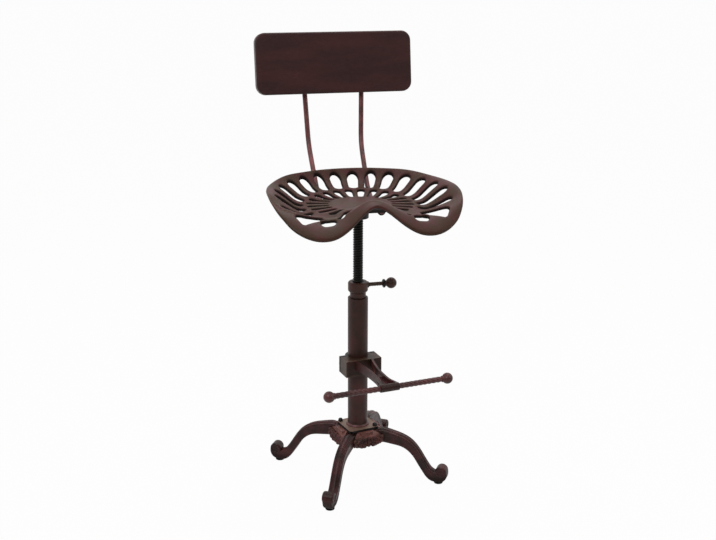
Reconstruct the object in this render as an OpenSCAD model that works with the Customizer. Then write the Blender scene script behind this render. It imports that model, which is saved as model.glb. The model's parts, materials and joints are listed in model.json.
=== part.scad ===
// Swivel stool with a cast tractor seat, a backrest on bent rods, a screw spindle and a four-legged cast base.
// The origin is on the column's axis at floor level, the seat faces -Y and +Z is up. Millimetres.

/* [Column] */
// Outside diameter of the column tube
column_d = 44.5; // [40:0.5:52]
// Wall of the column tube
column_wall = 2.6; // [2:0.1:4]
// Height of the base plate's top face, on which the column stands
plate_top_z = 118; // [105:1:135]
// Length of the column tube above the base plate
column_len = 302; // [270:1:340]
// Length of the threaded bushing in the column's top
bushing_len = 32; // [20:1:45]
// Length of the plug in the column's foot
foot_plug_len = 14; // [10:1:18]

/* [Spindle] */
// Outside diameter of the spindle's thread
spindle_d = 22.4; // [18:0.2:26]
// Length of the spindle above the column's top
spindle_out = 190.4; // [160:0.2:220]
// Length of the spindle inside the column
spindle_in = 150; // [135:1:160]
// Length of the guide bush at the spindle's lower end
guide_len = 24; // [15:1:30]
// Diameter of the flange on the spindle's top
flange_d = 46; // [36:1:60]
// Thickness of that flange
flange_t = 11; // [6:0.5:16]

/* [Lock nut and lever] */
// Diameter of the lock nut
nut_d = 44; // [38:0.5:52]
// Height of the lock nut without its neck
nut_h = 20; // [14:0.5:28]
// Diameter of the neck under the lock nut
neck_d = 35; // [30:0.2:38]
// Height of the neck, with its cone
neck_h = 15.7; // [10:0.1:20]
// Height of the lever above the lock nut's lower edge
lever_up = 11; // [7:0.5:14]
// Diameter of the lever rod
lever_d = 9; // [6:0.5:10]
// Distance from the axis to the ball's centre
lever_reach = 75.4; // [70:0.2:100]
// Diameter of the ball knob
ball_d = 24.6; // [18:0.2:26]
// Diameter of the jam disc behind the ball
jam_disc_d = 19; // [16:0.2:20]

/* [Seat] */
// Radius of the pan's rim at its sides
pan_r = 202; // [190:1:215]
// Thickness of the casting
pan_t = 7; // [5:0.5:8]
// Height of the pan's rim above its middle
pan_wall_h = 53.5; // [45:0.5:62]
// Height that the pan's middle stands above the foot of its wall
middle_rise = 9; // [4:0.5:11]
// Height of the bosses under the pan's middle, on which the seat plate bears
boss_h = 9.8; // [8:0.1:14]
// Distance from the axis forward to the centre of the pan
pan_forward = 18; // [0:1:30]
// Height of the pommel above the pan's lowest point
pommel_h = 45; // [30:1:55]
// Half width of the pommel where it has fallen to six tenths
pommel_half_w = 45; // [40:1:60]
// Round-ended slots on each side of the outer ring
slots_per_side = 8; // [6:1:8]
// Angle between two slots, in degrees
slot_pitch = 14.9; // [14:0.1:15]
// Inner radius of the outer ring of slots
outer_slot_r = 122; // [120:1:132]
// Width of the bars between the outer slots
slot_bar_w = 15; // [9:0.5:16]
// Inner radius of the inner ring of slots
inner_slot_r = 68; // [68:1:80]
// Width of the inner slots at their outer end
inner_slot_w = 16; // [10:0.5:17]
// Solid ring between the two rings of slots
slot_ring_w = 7; // [6:0.5:14]

/* [Seat mounting] */
// Thickness of the seat plate
seat_plate_t = 7.5; // [5:0.5:8]
// Distance the middle of the seat plate reaches forward of the axis
seat_plate_front = 14; // [14:1:20]
// Distance the middle of the seat plate reaches back from the axis
seat_plate_back = 41; // [40:1:60]
// Sideways distance of the seat bolts from the axis
seat_bolt_x = 34; // [33:1:36]
// Distance of the front seat bolts forward of the axis
seat_bolt_front = 0; // [0:1:6]
// Distance of the rear seat bolts back from the axis
seat_bolt_back = 32; // [28:1:34]
// Diameter of the seat bolts
seat_bolt_d = 8; // [6:0.5:10]

/* [Backrest] */
// Diameter of the back rods
rod_d = 11.2; // [9:0.2:14]
// Sideways distance of the rods from the axis under the seat
rod_x = 58; // [54:1:64]
// Distance each rod runs outward on its way to its top
rod_spread = 12.7; // [6:0.1:20]
// Distance from the axis back to the rods' front ends
rod_start = 16; // [12:1:20]
// Length of the plate's flats along the rods
rod_flat_len = 48; // [44:1:50]
// Distance from the axis back to the middle of the rods' lower bend
rod_bend_back = 127; // [118:0.5:135]
// Height of the rods' upper bend above the lower run
rod_rise = 116.2; // [95:0.2:130]
// Distance from the lower bend back to the upper bend
rod_knee_run = 96.7; // [88:0.1:105]
// Lean of the backrest from upright, in degrees
back_lean = 8.3; // [4:0.1:14]
// Width of the backrest panel
panel_w = 359; // [320:1:400]
// Height of the backrest panel along its lean
panel_h = 137; // [110:1:160]
// Depth of the backrest panel
panel_t = 24; // [18:1:30]
// Radius of the panel's corners
panel_corner_r = 22; // [14:1:35]
// Height of the panel's lower edge above the rods' upper bend
panel_rise = 118; // [80:1:140]
// Sheet thickness of the panel's front pan and rear cover
panel_sheet = 1.6; // [1.2:0.1:2.5]

/* [Footrest] */
// Angle of the footrest about the column, from the seat's front
footrest_turn = 8.7; // [-20:0.1:20]
// Height of the clamp block's top face above the base plate
clamp_up = 166.5; // [150:0.5:190]
// Height of the clamp block
clamp_h = 36.5; // [28:0.5:45]
// Width of the clamp's ears beside the column
clamp_ear_w = 19.45; // [14:0.05:24]
// Thickness of the clamp block in front of the column
clamp_wall = 13.4; // [8:0.05:18]
// Thickness of the rear clamp strap
strap_t = 6; // [4:0.5:8]
// Diameter of the clamp bolts
clamp_bolt_d = 6; // [5:0.5:8]
// Thickness of the footrest's arms
arm_t = 5; // [4:0.5:10]
// Height of the footrest's arms
arm_h = 16.5; // [12:0.5:22]
// Distance from the axis forward to the footrest bar
bar_forward = 172.8; // [150:0.2:200]
// Depth of the footrest bar's axis below the clamp block's top
bar_drop = 12.7; // [4:0.1:20]
// Diameter of the footrest bar
bar_d = 12.4; // [10:0.2:16]
// Distance between the centres of the bar's two balls
bar_span = 272; // [220:1:320]
// Diameter of the balls on the bar's ends
bar_ball_d = 24; // [16:0.2:26]
// Length of the sleeve that holds the bar
sleeve_len = 42; // [38:1:60]

/* [Base] */
// Angle of the base about the column, from the seat's front
base_turn = -31.9; // [-45:0.1:45]
// Side of the square base plate
plate_w = 72; // [70:1:90]
// Thickness of the base plate
plate_t = 5.5; // [4:0.5:9]
// Distance from the axis to the leg bolts
leg_bolt_r = 41; // [38:0.5:46]
// Diameter of the leg bolts
leg_bolt_d = 6; // [5:0.5:8]
// Width of the legs
leg_w = 24; // [18:1:26]
// Depth of a leg at its root
leg_root_h = 28; // [24:1:36]
// Distance from the axis to the centre of a foot's scroll
scroll_r = 196; // [180:1:230]
// Radius of a foot's scroll
scroll_size = 19; // [14:0.5:22]
// Distance of the foot pads inward of the scrolls' centres
pad_in = 4.5; // [0:0.5:8]
// Diameter of the foot pads
pad_d = 20; // [14:0.5:23]
// Thickness of the foot pads under the legs
pad_t = 3; // [2:0.5:5]
// Distance from the axis to the outer face of the aprons
apron_out = 55; // [46:1:60]
// Thickness of the aprons
apron_t = 20; // [12:0.5:22]
// Depth of the aprons' main body below the plate
apron_h = 26; // [22:1:40]
// Diameter of the scroll lumps on the aprons
apron_lump_d = 18; // [12:0.5:24]

/* [Clearances] */
// Radial clearance between turning parts
run_clear = 0.08; // [0.04:0.01:0.1]
// Gap between pieces that lie on each other
seat_gap = 0.3; // [0.2:0.05:0.4]

/* [Hidden] */
$fn = 64;
hull_fn = 16;
eps = 0.01;

column_r = column_d / 2;
tube_bore_r = column_r - column_wall;
spindle_r = spindle_d / 2;
plate_under_z = plate_top_z - plate_t;
column_top_z = plate_top_z + column_len;
spindle_top_z = column_top_z + spindle_out;
spindle_bottom_z = column_top_z - spindle_in;
seat_plate_z = spindle_top_z + seat_gap;
pan_middle_z = seat_plate_z + seat_plate_t + boss_h + pan_t;
pan_z = pan_middle_z - middle_rise;

// ---------- small helpers ----------

// A value that runs smoothly through the rows of a table: column col against column 0.
function row_at(t, x, i = 0) = (i >= len(t) - 2 || x < t[i + 1][0]) ? i : row_at(t, x, i + 1);
function slope_at(t, i, col) =
    i <= 0 || i >= len(t) - 1 ? 0 : (t[i + 1][col] - t[i - 1][col]) / (t[i + 1][0] - t[i - 1][0]);
function smooth_at(t, x, col) =
    let (i = row_at(t, x), w = t[i + 1][0] - t[i][0], s = (x - t[i][0]) / w,
         a = t[i][col], b = t[i + 1][col], ma = slope_at(t, i, col) * w, mb = slope_at(t, i + 1, col) * w)
    a * (2 * s ^ 3 - 3 * s ^ 2 + 1) + ma * (s ^ 3 - 2 * s ^ 2 + s) + b * (3 * s ^ 2 - 2 * s ^ 3)
    + mb * (s ^ 3 - s ^ 2);
function clamp01(x) = max(0, min(1, x));
function ease(x) = let (c = clamp01(x)) c * c * (3 - 2 * c);
function unit(v) = v / norm(v);

// Points along a smooth curve through the points of p, steps to each span.
function curve_point(a, b, c, d, s) =
    0.5 * (2 * b + (c - a) * s + (2 * a - 5 * b + 4 * c - d) * s ^ 2 + (3 * b - a - 3 * c + d) * s ^ 3);
function curve_through(p, steps) = [
    for (i = [0:len(p) - 2], k = [0:steps - 1])
        curve_point(p[max(i - 1, 0)], p[i], p[i + 1], p[min(i + 2, len(p) - 1)], k / steps),
    p[len(p) - 1]];

// A round bar from a to b.
module bar_between(a, b, d) {
    v = b - a;
    translate(a)
        rotate([0, acos(v[2] / norm(v)), atan2(v[1], v[0])])
            cylinder(d = d, h = norm(v));
}

// The round bend of a bar at corner p, between directions u and w, with bend radius r.
module bar_bend(p, u, w, r, d) {
    turn = acos(u * w);
    inward = unit(w - (u * w) * u);
    across = cross(-inward, u);
    centre = p - r * tan(turn / 2) * u + r * inward;
    multmatrix([
        [-inward[0], u[0], across[0], centre[0]],
        [-inward[1], u[1], across[1], centre[1]],
        [-inward[2], u[2], across[2], centre[2]],
        [0, 0, 0, 1]])
        rotate_extrude(angle = turn)
            translate([r, 0])
                circle(d = d);
}

// Places its children at two opposite legs: 0 for the right and left ones, 1 for the back and front ones.
module at_leg_pair(first) {
    for (i = [first, first + 2])
        rotate(base_turn + 90 * i)
            children();
}

// A hexagon bolt head or nut of width af across its flats.
module hexagon(af, h) {
    cylinder(d = af / cos(30), h = h, $fn = 6);
}

// Places its children at each leg, in the base's own angle.
module at_legs() {
    for (i = [0:3])
        rotate(base_turn + 90 * i)
            children();
}

// ---------- base ----------

leg_root_r = 30;
leg_clear = 0.3;
centre_hole_d = 12.6;
plate_corner_r = 7;
centre_bolt_d = 12;
washer_d = 34;
washer_t = 4;
bolt_head_h = 8;
low_head_h = 5;
blind_skin = 1.5;

module base_plate() {
    color("#6e5a50")
        rotate(base_turn + 45)
            difference() {
                translate([0, 0, plate_under_z])
                    linear_extrude(plate_t)
                        offset(plate_corner_r)
                            square(plate_w - 2 * plate_corner_r, center = true);
                translate([0, 0, plate_under_z - 1])
                    cylinder(d = centre_hole_d, h = plate_t + 2);
                for (i = [0:3])
                    rotate(45 + 90 * i)
                        translate([leg_bolt_r, 0, plate_under_z - 1])
                            cylinder(
                                d = leg_bolt_d + 2 * seat_gap,
                                h = i % 2 == 1 ? plate_t + 2 : plate_t + 1 - blind_skin);
            }
}

// Scroll lumps along an apron's lower edge: distance from its middle and drop below the plate.
apron_lumps = [[-36, 17], [-27, 19], [-16, 22], [-5, 19.5], [5, 19.5], [16, 22], [27, 19], [36, 17]];

lump_t = 11;

module hub_casting() {
    apron_half = apron_out - 4;
    color("#5c4038")
        difference() {
            union() {
                translate([0, 0, plate_under_z - leg_root_h])
                    cylinder(r = leg_root_r + 6, h = leg_root_h - eps);
                at_legs()
                    rotate(45) {
                        translate([0, apron_half, plate_under_z])
                            rotate([90, 0, 0])
                                linear_extrude(2 * apron_half)
                                    polygon([
                                        [apron_out - apron_t, -eps], [plate_w / 2 + 1.5, -eps],
                                        [apron_out - 8, -4.5], [apron_out - 2.5, -10], [apron_out, -17],
                                        [apron_out - 1, -apron_h], [apron_out - apron_t, -apron_h]]);
                        translate([leg_root_r - 4, -14, plate_under_z - leg_root_h])
                            cube([apron_out - leg_root_r - 4, 28, leg_root_h - eps]);
                        for (lump = apron_lumps)
                            translate([apron_out - lump_t, lump[0], plate_under_z - lump[1]])
                                rotate([0, 90, 0])
                                    cylinder(d = apron_lump_d, h = lump_t, $fn = 24);
                    }
            }
            at_legs()
                translate([leg_root_r, -leg_w / 2 - leg_clear, plate_under_z - 60])
                    cube([60, leg_w + 2 * leg_clear, 80]);
            translate([0, 0, plate_under_z - leg_root_h - 1])
                cylinder(d = centre_hole_d, h = leg_root_h + 2);
        }
}

// The leg's outline in its own upright plane: distance from the axis, and height.
scroll_z = pad_t + scroll_size;
pad_r = scroll_r - pad_in;
leg_top_line = [
    [leg_root_r + leg_clear, plate_under_z - seat_gap], [49, plate_under_z - 0.4], [54, plate_under_z + 1.8],
    [63, plate_under_z + 2.4], [80, plate_under_z - 0.6], [scroll_r - 91, plate_under_z - 6],
    [scroll_r - 74, plate_under_z - 13.5], [scroll_r - 60, plate_under_z - 24], [scroll_r - 47, plate_under_z - 41], [scroll_r - 38, plate_under_z - 56], [scroll_r - 30, scroll_z + 21],
    [scroll_r - 19, scroll_z + 5]];
leg_under_line = [
    [scroll_r - 12, pad_t + 3.5], [scroll_r - 25, pad_t + 5], [scroll_r - 35, pad_t + 15],
    [scroll_r - 44, scroll_z + 9], [scroll_r - 54, plate_under_z - 66], [scroll_r - 64, plate_under_z - 52],
    [scroll_r - 76, plate_under_z - 41], [scroll_r - 90, plate_under_z - 35], [86, plate_under_z - 31],
    [60, plate_under_z - leg_root_h - 0.5], [leg_root_r + leg_clear, plate_under_z - leg_root_h]];
pad_stem_d = 5;
pad_stem_len = 10;

module leg() {
    difference() {
        translate([0, leg_w / 2, 0])
            rotate([90, 0, 0]) {
                linear_extrude(leg_w)
                    polygon(concat(
                        curve_through(leg_top_line, 3), [[scroll_r, scroll_z], [scroll_r, pad_t + eps]],
                        curve_through(leg_under_line, 3)));
                translate([scroll_r, scroll_z, 0])
                    cylinder(r = scroll_size, h = leg_w, $fn = 48);
                translate([pad_r - pad_d / 2, pad_t, (leg_w - pad_d) / 2])
                    cube([pad_d, scroll_size, pad_d]);
            }
        translate([leg_bolt_r, 0, plate_under_z - leg_root_h - 5])
            cylinder(d = leg_bolt_d + 2 * seat_gap, h = leg_root_h + 10);
        translate([pad_r, 0, pad_t - 2])
            cylinder(d = pad_stem_d + 2 * seat_gap, h = pad_stem_len + 2);
        translate([pad_r - pad_d, -leg_w, -pad_t])
            cube([2 * pad_d, 2 * leg_w, 2 * pad_t + seat_gap]);
    }
}

module leg_number(i) {
    color("#5a3a34")
        rotate(base_turn - 90 + 90 * i)
            leg();
}

module foot_pads() {
    color("#161412")
        at_legs()
            translate([pad_r, 0, 0]) {
                cylinder(d = pad_d, h = pad_t);
                cylinder(d = pad_stem_d, h = pad_t + pad_stem_len - seat_gap);
            }
}

// The right and left bolts have their heads on the plate, the back and front ones come up from below.
module leg_bolts() {
    under = plate_under_z - leg_root_h;
    color("#1c1a18") {
        at_leg_pair(0)
            translate([leg_bolt_r, 0, 0]) {
                translate([0, 0, plate_top_z])
                    hexagon(leg_bolt_d * 1.6, bolt_head_h);
                translate([0, 0, under - 9])
                    cylinder(d = leg_bolt_d, h = leg_root_h + plate_t + 9 + eps);
            }
        at_leg_pair(1)
            translate([leg_bolt_r, 0, under - 0.6 - low_head_h]) {
                hexagon(leg_bolt_d * 1.6, low_head_h);
                cylinder(
                    d = leg_bolt_d, h = plate_top_z - blind_skin - seat_gap - under + 0.6 + low_head_h);
            }
    }
}

module leg_nuts() {
    color("#1c1a18")
        at_leg_pair(0)
            translate([leg_bolt_r, 0, plate_under_z - leg_root_h - 6.5])
                difference() {
                    hexagon(leg_bolt_d * 1.6, 6);
                    translate([0, 0, -1])
                        cylinder(d = leg_bolt_d + 2 * run_clear, h = 8);
                }
}

module centre_washer() {
    color("#2a2522")
        translate([0, 0, plate_under_z - leg_root_h - washer_t])
            difference() {
                cylinder(d = washer_d, h = washer_t);
                translate([0, 0, -1])
                    cylinder(d = centre_hole_d, h = washer_t + 2);
            }
}

module centre_bolt() {
    head_h = 8;
    under = plate_under_z - leg_root_h - washer_t;
    color("#1c1a18") {
        translate([0, 0, under - head_h])
            hexagon(19, head_h);
        translate([0, 0, under - eps])
            cylinder(d = centre_bolt_d, h = plate_top_z + foot_plug_len - 2 - under);
    }
}

// ---------- column ----------

module column_tube() {
    color("#3a2826")
        translate([0, 0, plate_top_z])
            difference() {
                cylinder(r = column_r, h = column_top_z - plate_top_z, $fn = 96);
                translate([0, 0, -1])
                    cylinder(r = tube_bore_r, h = column_top_z - plate_top_z + 2, $fn = 96);
            }
}

module column_foot_plug() {
    color("#33302c")
        translate([0, 0, plate_top_z])
            difference() {
                cylinder(r = tube_bore_r - run_clear, h = foot_plug_len);
                translate([0, 0, -1])
                    cylinder(d = centre_bolt_d + 2 * run_clear, h = foot_plug_len + 2);
            }
}

module threaded_bushing() {
    color("#33302c")
        translate([0, 0, column_top_z - bushing_len])
            difference() {
                cylinder(r = tube_bore_r - run_clear, h = bushing_len);
                translate([0, 0, -1])
                    cylinder(r = spindle_r + run_clear, h = bushing_len + 2);
            }
}

// ---------- lock nut and lever ----------

nut_low_z = column_top_z + seat_gap + neck_h;
lever_z = nut_low_z + lever_up;
nut_edge = 2.4;
nut_recess_d = spindle_d + 3;
nut_recess_h = 3;
lever_hole_depth = 9;
jam_disc_x = lever_reach - 19.6;
jam_disc_t = 5;
ball_neck_d = lever_d + 4;

module lock_nut() {
    nut_r = nut_d / 2;
    neck_r = neck_d / 2;
    color("#5b4038")
        difference() {
            union() {
                translate([0, 0, column_top_z + seat_gap])
                    rotate_extrude()
                        polygon([
                            [0, 0], [neck_r, 0], [neck_r, neck_h - 5], [nut_r, neck_h],
                            [nut_r, neck_h + nut_h - nut_edge], [nut_r - nut_edge, neck_h + nut_h],
                            [0, neck_h + nut_h]]);
                translate([nut_r - 3, 0, lever_z])
                    rotate([0, 90, 0])
                        cylinder(d1 = lever_d + 8, d2 = lever_d + 4, h = 5.6);
            }
            translate([0, 0, column_top_z - 1])
                cylinder(r = spindle_r + run_clear, h = neck_h + nut_h + 5);
            translate([0, 0, nut_low_z + nut_h - nut_recess_h])
                cylinder(d = nut_recess_d, h = nut_recess_h + 5);
            translate([nut_r + 2.6 - lever_hole_depth, 0, lever_z])
                rotate([0, 90, 0])
                    cylinder(d = lever_d + 2 * run_clear, h = lever_hole_depth + 5);
        }
}

module lever_rod() {
    start = nut_d / 2 + 2.6 - lever_hole_depth + seat_gap;
    color("#6b4f47")
        translate([start, 0, lever_z])
            rotate([0, 90, 0])
                cylinder(d = lever_d, h = lever_reach - 4 - start);
}

module lever_jam_disc() {
    color("#2b2220")
        translate([jam_disc_x, 0, lever_z])
            rotate([0, 90, 0])
                difference() {
                    cylinder(d = jam_disc_d, h = jam_disc_t);
                    translate([0, 0, -1])
                        cylinder(d = lever_d + 2 * run_clear, h = jam_disc_t + 2);
                }
}

module lever_ball() {
    neck_x = jam_disc_x + jam_disc_t + seat_gap;
    color("#5a3531")
        difference() {
            union() {
                translate([lever_reach, 0, lever_z])
                    sphere(d = ball_d);
                translate([neck_x, 0, lever_z])
                    rotate([0, 90, 0])
                        cylinder(d = ball_neck_d, h = lever_reach - neck_x);
            }
            translate([neck_x - 5, 0, lever_z])
                rotate([0, 90, 0])
                    cylinder(d = lever_d + 2 * run_clear, h = lever_reach - 4 + seat_gap - neck_x + 5);
        }
}

// ---------- spindle ----------

guide_neck_d = 12;
guide_washer_t = 2.5;
guide_screw_d = 8;

module spindle() {
    color("#1a1a14")
        difference() {
            union() {
                translate([0, 0, spindle_bottom_z + guide_len + 2 * seat_gap])
                    cylinder(r = spindle_r, h = spindle_top_z - spindle_bottom_z - guide_len - 2 * seat_gap);
                translate([0, 0, spindle_bottom_z])
                    cylinder(d = guide_neck_d, h = guide_len + 1);
            }
            translate([0, 0, spindle_bottom_z - 1])
                cylinder(d = guide_screw_d + 2 * run_clear, h = 22);
        }
}

// The nylon bush slides in the tube without turning; the spindle's neck turns in it.
module guide_bush() {
    color("#d8d2c4")
        translate([0, 0, spindle_bottom_z + seat_gap])
            difference() {
                cylinder(r = tube_bore_r - run_clear, h = guide_len);
                translate([0, 0, -1])
                    cylinder(d = guide_neck_d + 2 * run_clear, h = guide_len + 2);
            }
}

module guide_washer() {
    color("#5a5650")
        translate([0, 0, spindle_bottom_z - guide_washer_t])
            difference() {
                cylinder(d = 30, h = guide_washer_t);
                translate([0, 0, -1])
                    cylinder(d = guide_screw_d + 2 * run_clear, h = guide_washer_t + 2);
            }
}

module guide_screw() {
    head_h = 5.3;
    color("#5a5650") {
        translate([0, 0, spindle_bottom_z - guide_washer_t - head_h])
            hexagon(13, head_h);
        translate([0, 0, spindle_bottom_z - guide_washer_t - eps])
            cylinder(d = guide_screw_d, h = 20);
    }
}

module spindle_flange() {
    color("#241d1a")
        translate([0, 0, spindle_top_z - flange_t])
            difference() {
                cylinder(d = flange_d, h = flange_t);
                translate([0, 0, -1])
                    cylinder(r = spindle_r + run_clear, h = flange_t + 2);
            }
}

// ---------- seat ----------

// Stations round the pan from its rear (0 degrees) to its front (180): angle, rim radius beyond
// pan_r, height of the wall as a share of pan_wall_h, drop of the rolled edge, share of the radius
// where that roll starts, width of the rim outside the slots, share where the wall starts, and how
// far the wall eases out again at the rim (0 for a plain bowl, 1 for a full ease).
pan_stations = [
    [0, -30.5, 1, 0, 0.9, 5.5, 0.4, 0], [30, -30.5, 1.02, 0, 0.9, 4.5, 0.4, 0],
    [50, -20, 1.01, 0, 0.9, 10, 0.49, 0.45], [70, -9, 0.9, 0, 0.9, 15, 0.55, 0.9],
    [90, 0, 0.88, 0, 0.9, 17, 0.56, 1], [100, 6, 0.86, 0, 0.88, 18, 0.56, 0.9],
    [110, 14, 0.8, 5, 0.85, 21, 0.55, 0.5], [120, 19, 0.67, 17, 0.82, 22, 0.5, 0.6],
    [130, 18, 0.34, 22, 0.75, 22, 0.4, 1], [140, 7, 0.17, 28, 0.65, 22, 0.3, 1],
    [150, -13, 0.11, 30, 0.6, 22, 0.3, 1], [160, -36, 0.06, 24, 0.65, 22, 0.3, 1],
    [170, -54, 0.02, 15, 0.72, 22, 0.3, 1], [180, -61, 0, 9, 0.75, 22, 0.3, 1]];
bowl_power = 2.5;
pommel_start = 50;
pommel_run = 95;
middle_r = 108;
middle_run = 38;

// The pommel's half width, at distance y forward: it widens where it runs out at the rim.
function pommel_width(y) = pommel_half_w * (0.67 + 0.33 * ease((y - 105) / 45));

function rim_r(a) = pan_r + smooth_at(pan_stations, a, 1);

// Height of the pan's inner surface at angle a (0 to 180 from the rear) and share s of the rim radius.
function pan_height(a, s) =
    let (r = s * rim_r(a), x = r * sin(a), y = pan_forward - r * cos(a),
         start = smooth_at(pan_stations, a, 6), mix = smooth_at(pan_stations, a, 7),
         up = clamp01((s - start) / (1 - start)),
         wall = pan_wall_h * smooth_at(pan_stations, a, 2) * ((1 - mix) * up ^ bowl_power + mix * ease(up)),
         roll_from = smooth_at(pan_stations, a, 4),
         roll = smooth_at(pan_stations, a, 3) * clamp01((s - roll_from) / (1 - roll_from)) ^ 2,
         pommel = pommel_h * exp(-(x ^ 2) / (2 * pommel_width(y) ^ 2)) * ease((y - pommel_start) / pommel_run),
         middle = middle_rise * (1 - ease((r - middle_r) / middle_run)) * (1 - ease((y - 80) / 50)))
    pan_z + middle + wall + pommel - roll;

// A point of the pan: inner surface for side 1, underside for side -1. Angle from -180 to 180.
function pan_point(a, s, side) =
    let (b = abs(a), r = s * rim_r(b), sg = a < 0 ? -1 : 1, d = 0.004,
         x = r * sin(b), y = pan_forward - r * cos(b), z = pan_height(b, s),
         s1 = max(s - d, 0.01), s2 = s1 + 2 * d,
         b1 = max(b - 0.5, 0), b2 = min(b + 0.5, 180),
         along = [(s2 - s1) * rim_r(b), pan_height(b, s2) - pan_height(b, s1)],
         tilt_r = along[1] / along[0],
         tilt_a = s < 0.02 ? 0 :
             (pan_height(b2, s) - pan_height(b1, s)) / ((b2 - b1) * PI / 180 * max(r, 1)),
         n = unit([-tilt_r * sin(b) - tilt_a * cos(b), tilt_r * cos(b) - tilt_a * sin(b), 1]),
         q = side > 0 ? [x, y, z] : [x, y, z] - pan_t * n)
    [sg * q[0], -q[1], q[2]];

pan_turns = 60;
pan_rings = [0, 0.35, 0.52, 0.61, 0.68, 0.74, 0.8, 0.86, 0.92, 1];

// The pan without its slots, as one closed shell.
module pan_shell() {
    rows = len(pan_rings);
    function at(side, k, i) = side * (rows - 1) * pan_turns + (k - 1) * pan_turns + i % pan_turns;
    top = 2 * (rows - 1) * pan_turns;
    points = concat(
        [for (side = [1, -1], k = [1:rows - 1], i = [0:pan_turns - 1])
            pan_point(-180 + 360 * i / pan_turns, pan_rings[k], side)],
        [[0, -pan_forward, pan_middle_z], [0, -pan_forward, pan_middle_z - pan_t]]);
    faces = concat(
        [for (i = [0:pan_turns - 1]) [top, at(0, 1, i), at(0, 1, i + 1)]],
        [for (i = [0:pan_turns - 1]) [top + 1, at(1, 1, i + 1), at(1, 1, i)]],
        [for (k = [1:rows - 2], i = [0:pan_turns - 1]) [at(0, k, i), at(0, k + 1, i + 1), at(0, k, i + 1)]],
        [for (k = [1:rows - 2], i = [0:pan_turns - 1]) [at(0, k, i), at(0, k + 1, i), at(0, k + 1, i + 1)]],
        [for (k = [1:rows - 2], i = [0:pan_turns - 1]) [at(1, k, i), at(1, k, i + 1), at(1, k + 1, i + 1)]],
        [for (k = [1:rows - 2], i = [0:pan_turns - 1]) [at(1, k, i), at(1, k + 1, i + 1), at(1, k + 1, i)]],
        [for (i = [0:pan_turns - 1]) [at(0, rows - 1, i), at(1, rows - 1, i + 1), at(0, rows - 1, i + 1)]],
        [for (i = [0:pan_turns - 1]) [at(0, rows - 1, i), at(1, rows - 1, i), at(1, rows - 1, i + 1)]]);
    polyhedron(points, faces, convexity = 6);
}

cut_below = 60;
cut_h = 150;

// A slot with round ends, from radius r1 to r2 about the pan's centre, its ends w1 and w2 wide.
module slot(a, r1, w1, r2, w2) {
    translate([0, -pan_forward, pan_z - cut_below])
        rotate(a)
            linear_extrude(cut_h)
                hull() {
                    translate([0, r1 + w1 / 2])
                        circle(d = w1, $fn = hull_fn);
                    translate([0, r2 - w2 / 2])
                        circle(d = w2, $fn = hull_fn);
                }
}

function bar_gap(r) = r * slot_pitch * PI / 180 - slot_bar_w;

module outer_slots() {
    for (side = [-1, 1], k = [0:slots_per_side - 1]) {
        a = (k + 0.5) * slot_pitch;
        r2 = rim_r(a) - smooth_at(pan_stations, a, 5);
        slot(side * a, outer_slot_r, bar_gap(outer_slot_r + 13), r2, bar_gap(r2 - 12) * (a > 60 ? 0.86 : 1));
    }
}

inner_slot_count = 9;

module inner_slots() {
    for (k = [-inner_slot_count:inner_slot_count])
        slot(k * slot_pitch, inner_slot_r, inner_slot_w * 0.62, outer_slot_r - slot_ring_w, inner_slot_w);
}

// A slot whose outline wraps round circles at the corners c, mirrored to both lobes.
module lobe_slot(c, d) {
    for (side = [-1, 1])
        translate([0, 0, pan_z - cut_below])
            linear_extrude(cut_h)
                hull()
                    for (p = c)
                        translate([side * p[0], -p[1]])
                            circle(d = d, $fn = hull_fn);
}

// Slots in the two thigh lobes: a wedge that ends the outer ring, an oval before it, and the last
// slot of the inner ring beside the pommel.
wedge_corners = [[154, 131.5], [146.5, 143.5], [111, 117], [110.5, 130]];
wedge_round = 15;
oval_ends = [[91, 147], [104, 147]];
oval_w = 18.5;
inner_last_ends = [[50, 105], [70, 138]];
inner_last_w = 14;

module lobe_slots() {
    lobe_slot(wedge_corners, wedge_round);
    lobe_slot(oval_ends, oval_w);
    lobe_slot(inner_last_ends, inner_last_w);
}

module at_seat_bolts() {
    for (x = [-1, 1], y = [-seat_bolt_front, seat_bolt_back])
        translate([x * seat_bolt_x, y, 0])
            children();
}

bolt_in_pan = 3;
plate_flat_w = 28;

module tractor_seat() {
    color("#54453f")
        difference() {
            union() {
                pan_shell();
                at_seat_bolts()
                    translate([0, 0, seat_plate_z + seat_plate_t])
                        cylinder(d = 2 * seat_bolt_d, h = boss_h + pan_t / 2, $fn = hull_fn);
            }
            outer_slots();
            inner_slots();
            lobe_slots();
            at_seat_bolts()
                translate([0, 0, seat_plate_z])
                    cylinder(
                        d = seat_bolt_d + 2 * seat_gap, h = pan_middle_z - bolt_in_pan + 2 * seat_gap - seat_plate_z,
                        $fn = hull_fn);
        }
}

module seat_plate() {
    color("#2b2320")
        translate([0, 0, seat_plate_z])
            difference() {
                union() {
                    translate([-rod_x, -seat_plate_front, 0])
                        cube([2 * rod_x, seat_plate_front + seat_plate_back, seat_plate_t]);
                    for (side = [-1, 1])
                        translate([side * (rod_x + saddle_ear / 2) - plate_flat_w / 2, rod_start, 0])
                            cube([plate_flat_w, rod_flat_len, seat_plate_t]);
                }
                at_seat_bolts()
                    translate([0, 0, -1])
                        cylinder(d = seat_bolt_d + 2 * seat_gap, h = seat_plate_t + 2);
                at_rod_screws()
                    translate([0, 0, -1])
                        cylinder(d = saddle_screw_d + 2 * seat_gap, h = seat_plate_t + 2);
            }
}

module seat_bolts() {
    head_h = 2.6;
    color("#1c1a18")
        at_seat_bolts() {
            translate([0, 0, seat_plate_z - head_h])
                cylinder(d = seat_bolt_d * 1.7, h = head_h);
            translate([0, 0, seat_plate_z - eps])
                cylinder(d = seat_bolt_d, h = pan_middle_z - bolt_in_pan - seat_plate_z);
        }
}

// ---------- back rods ----------

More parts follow.
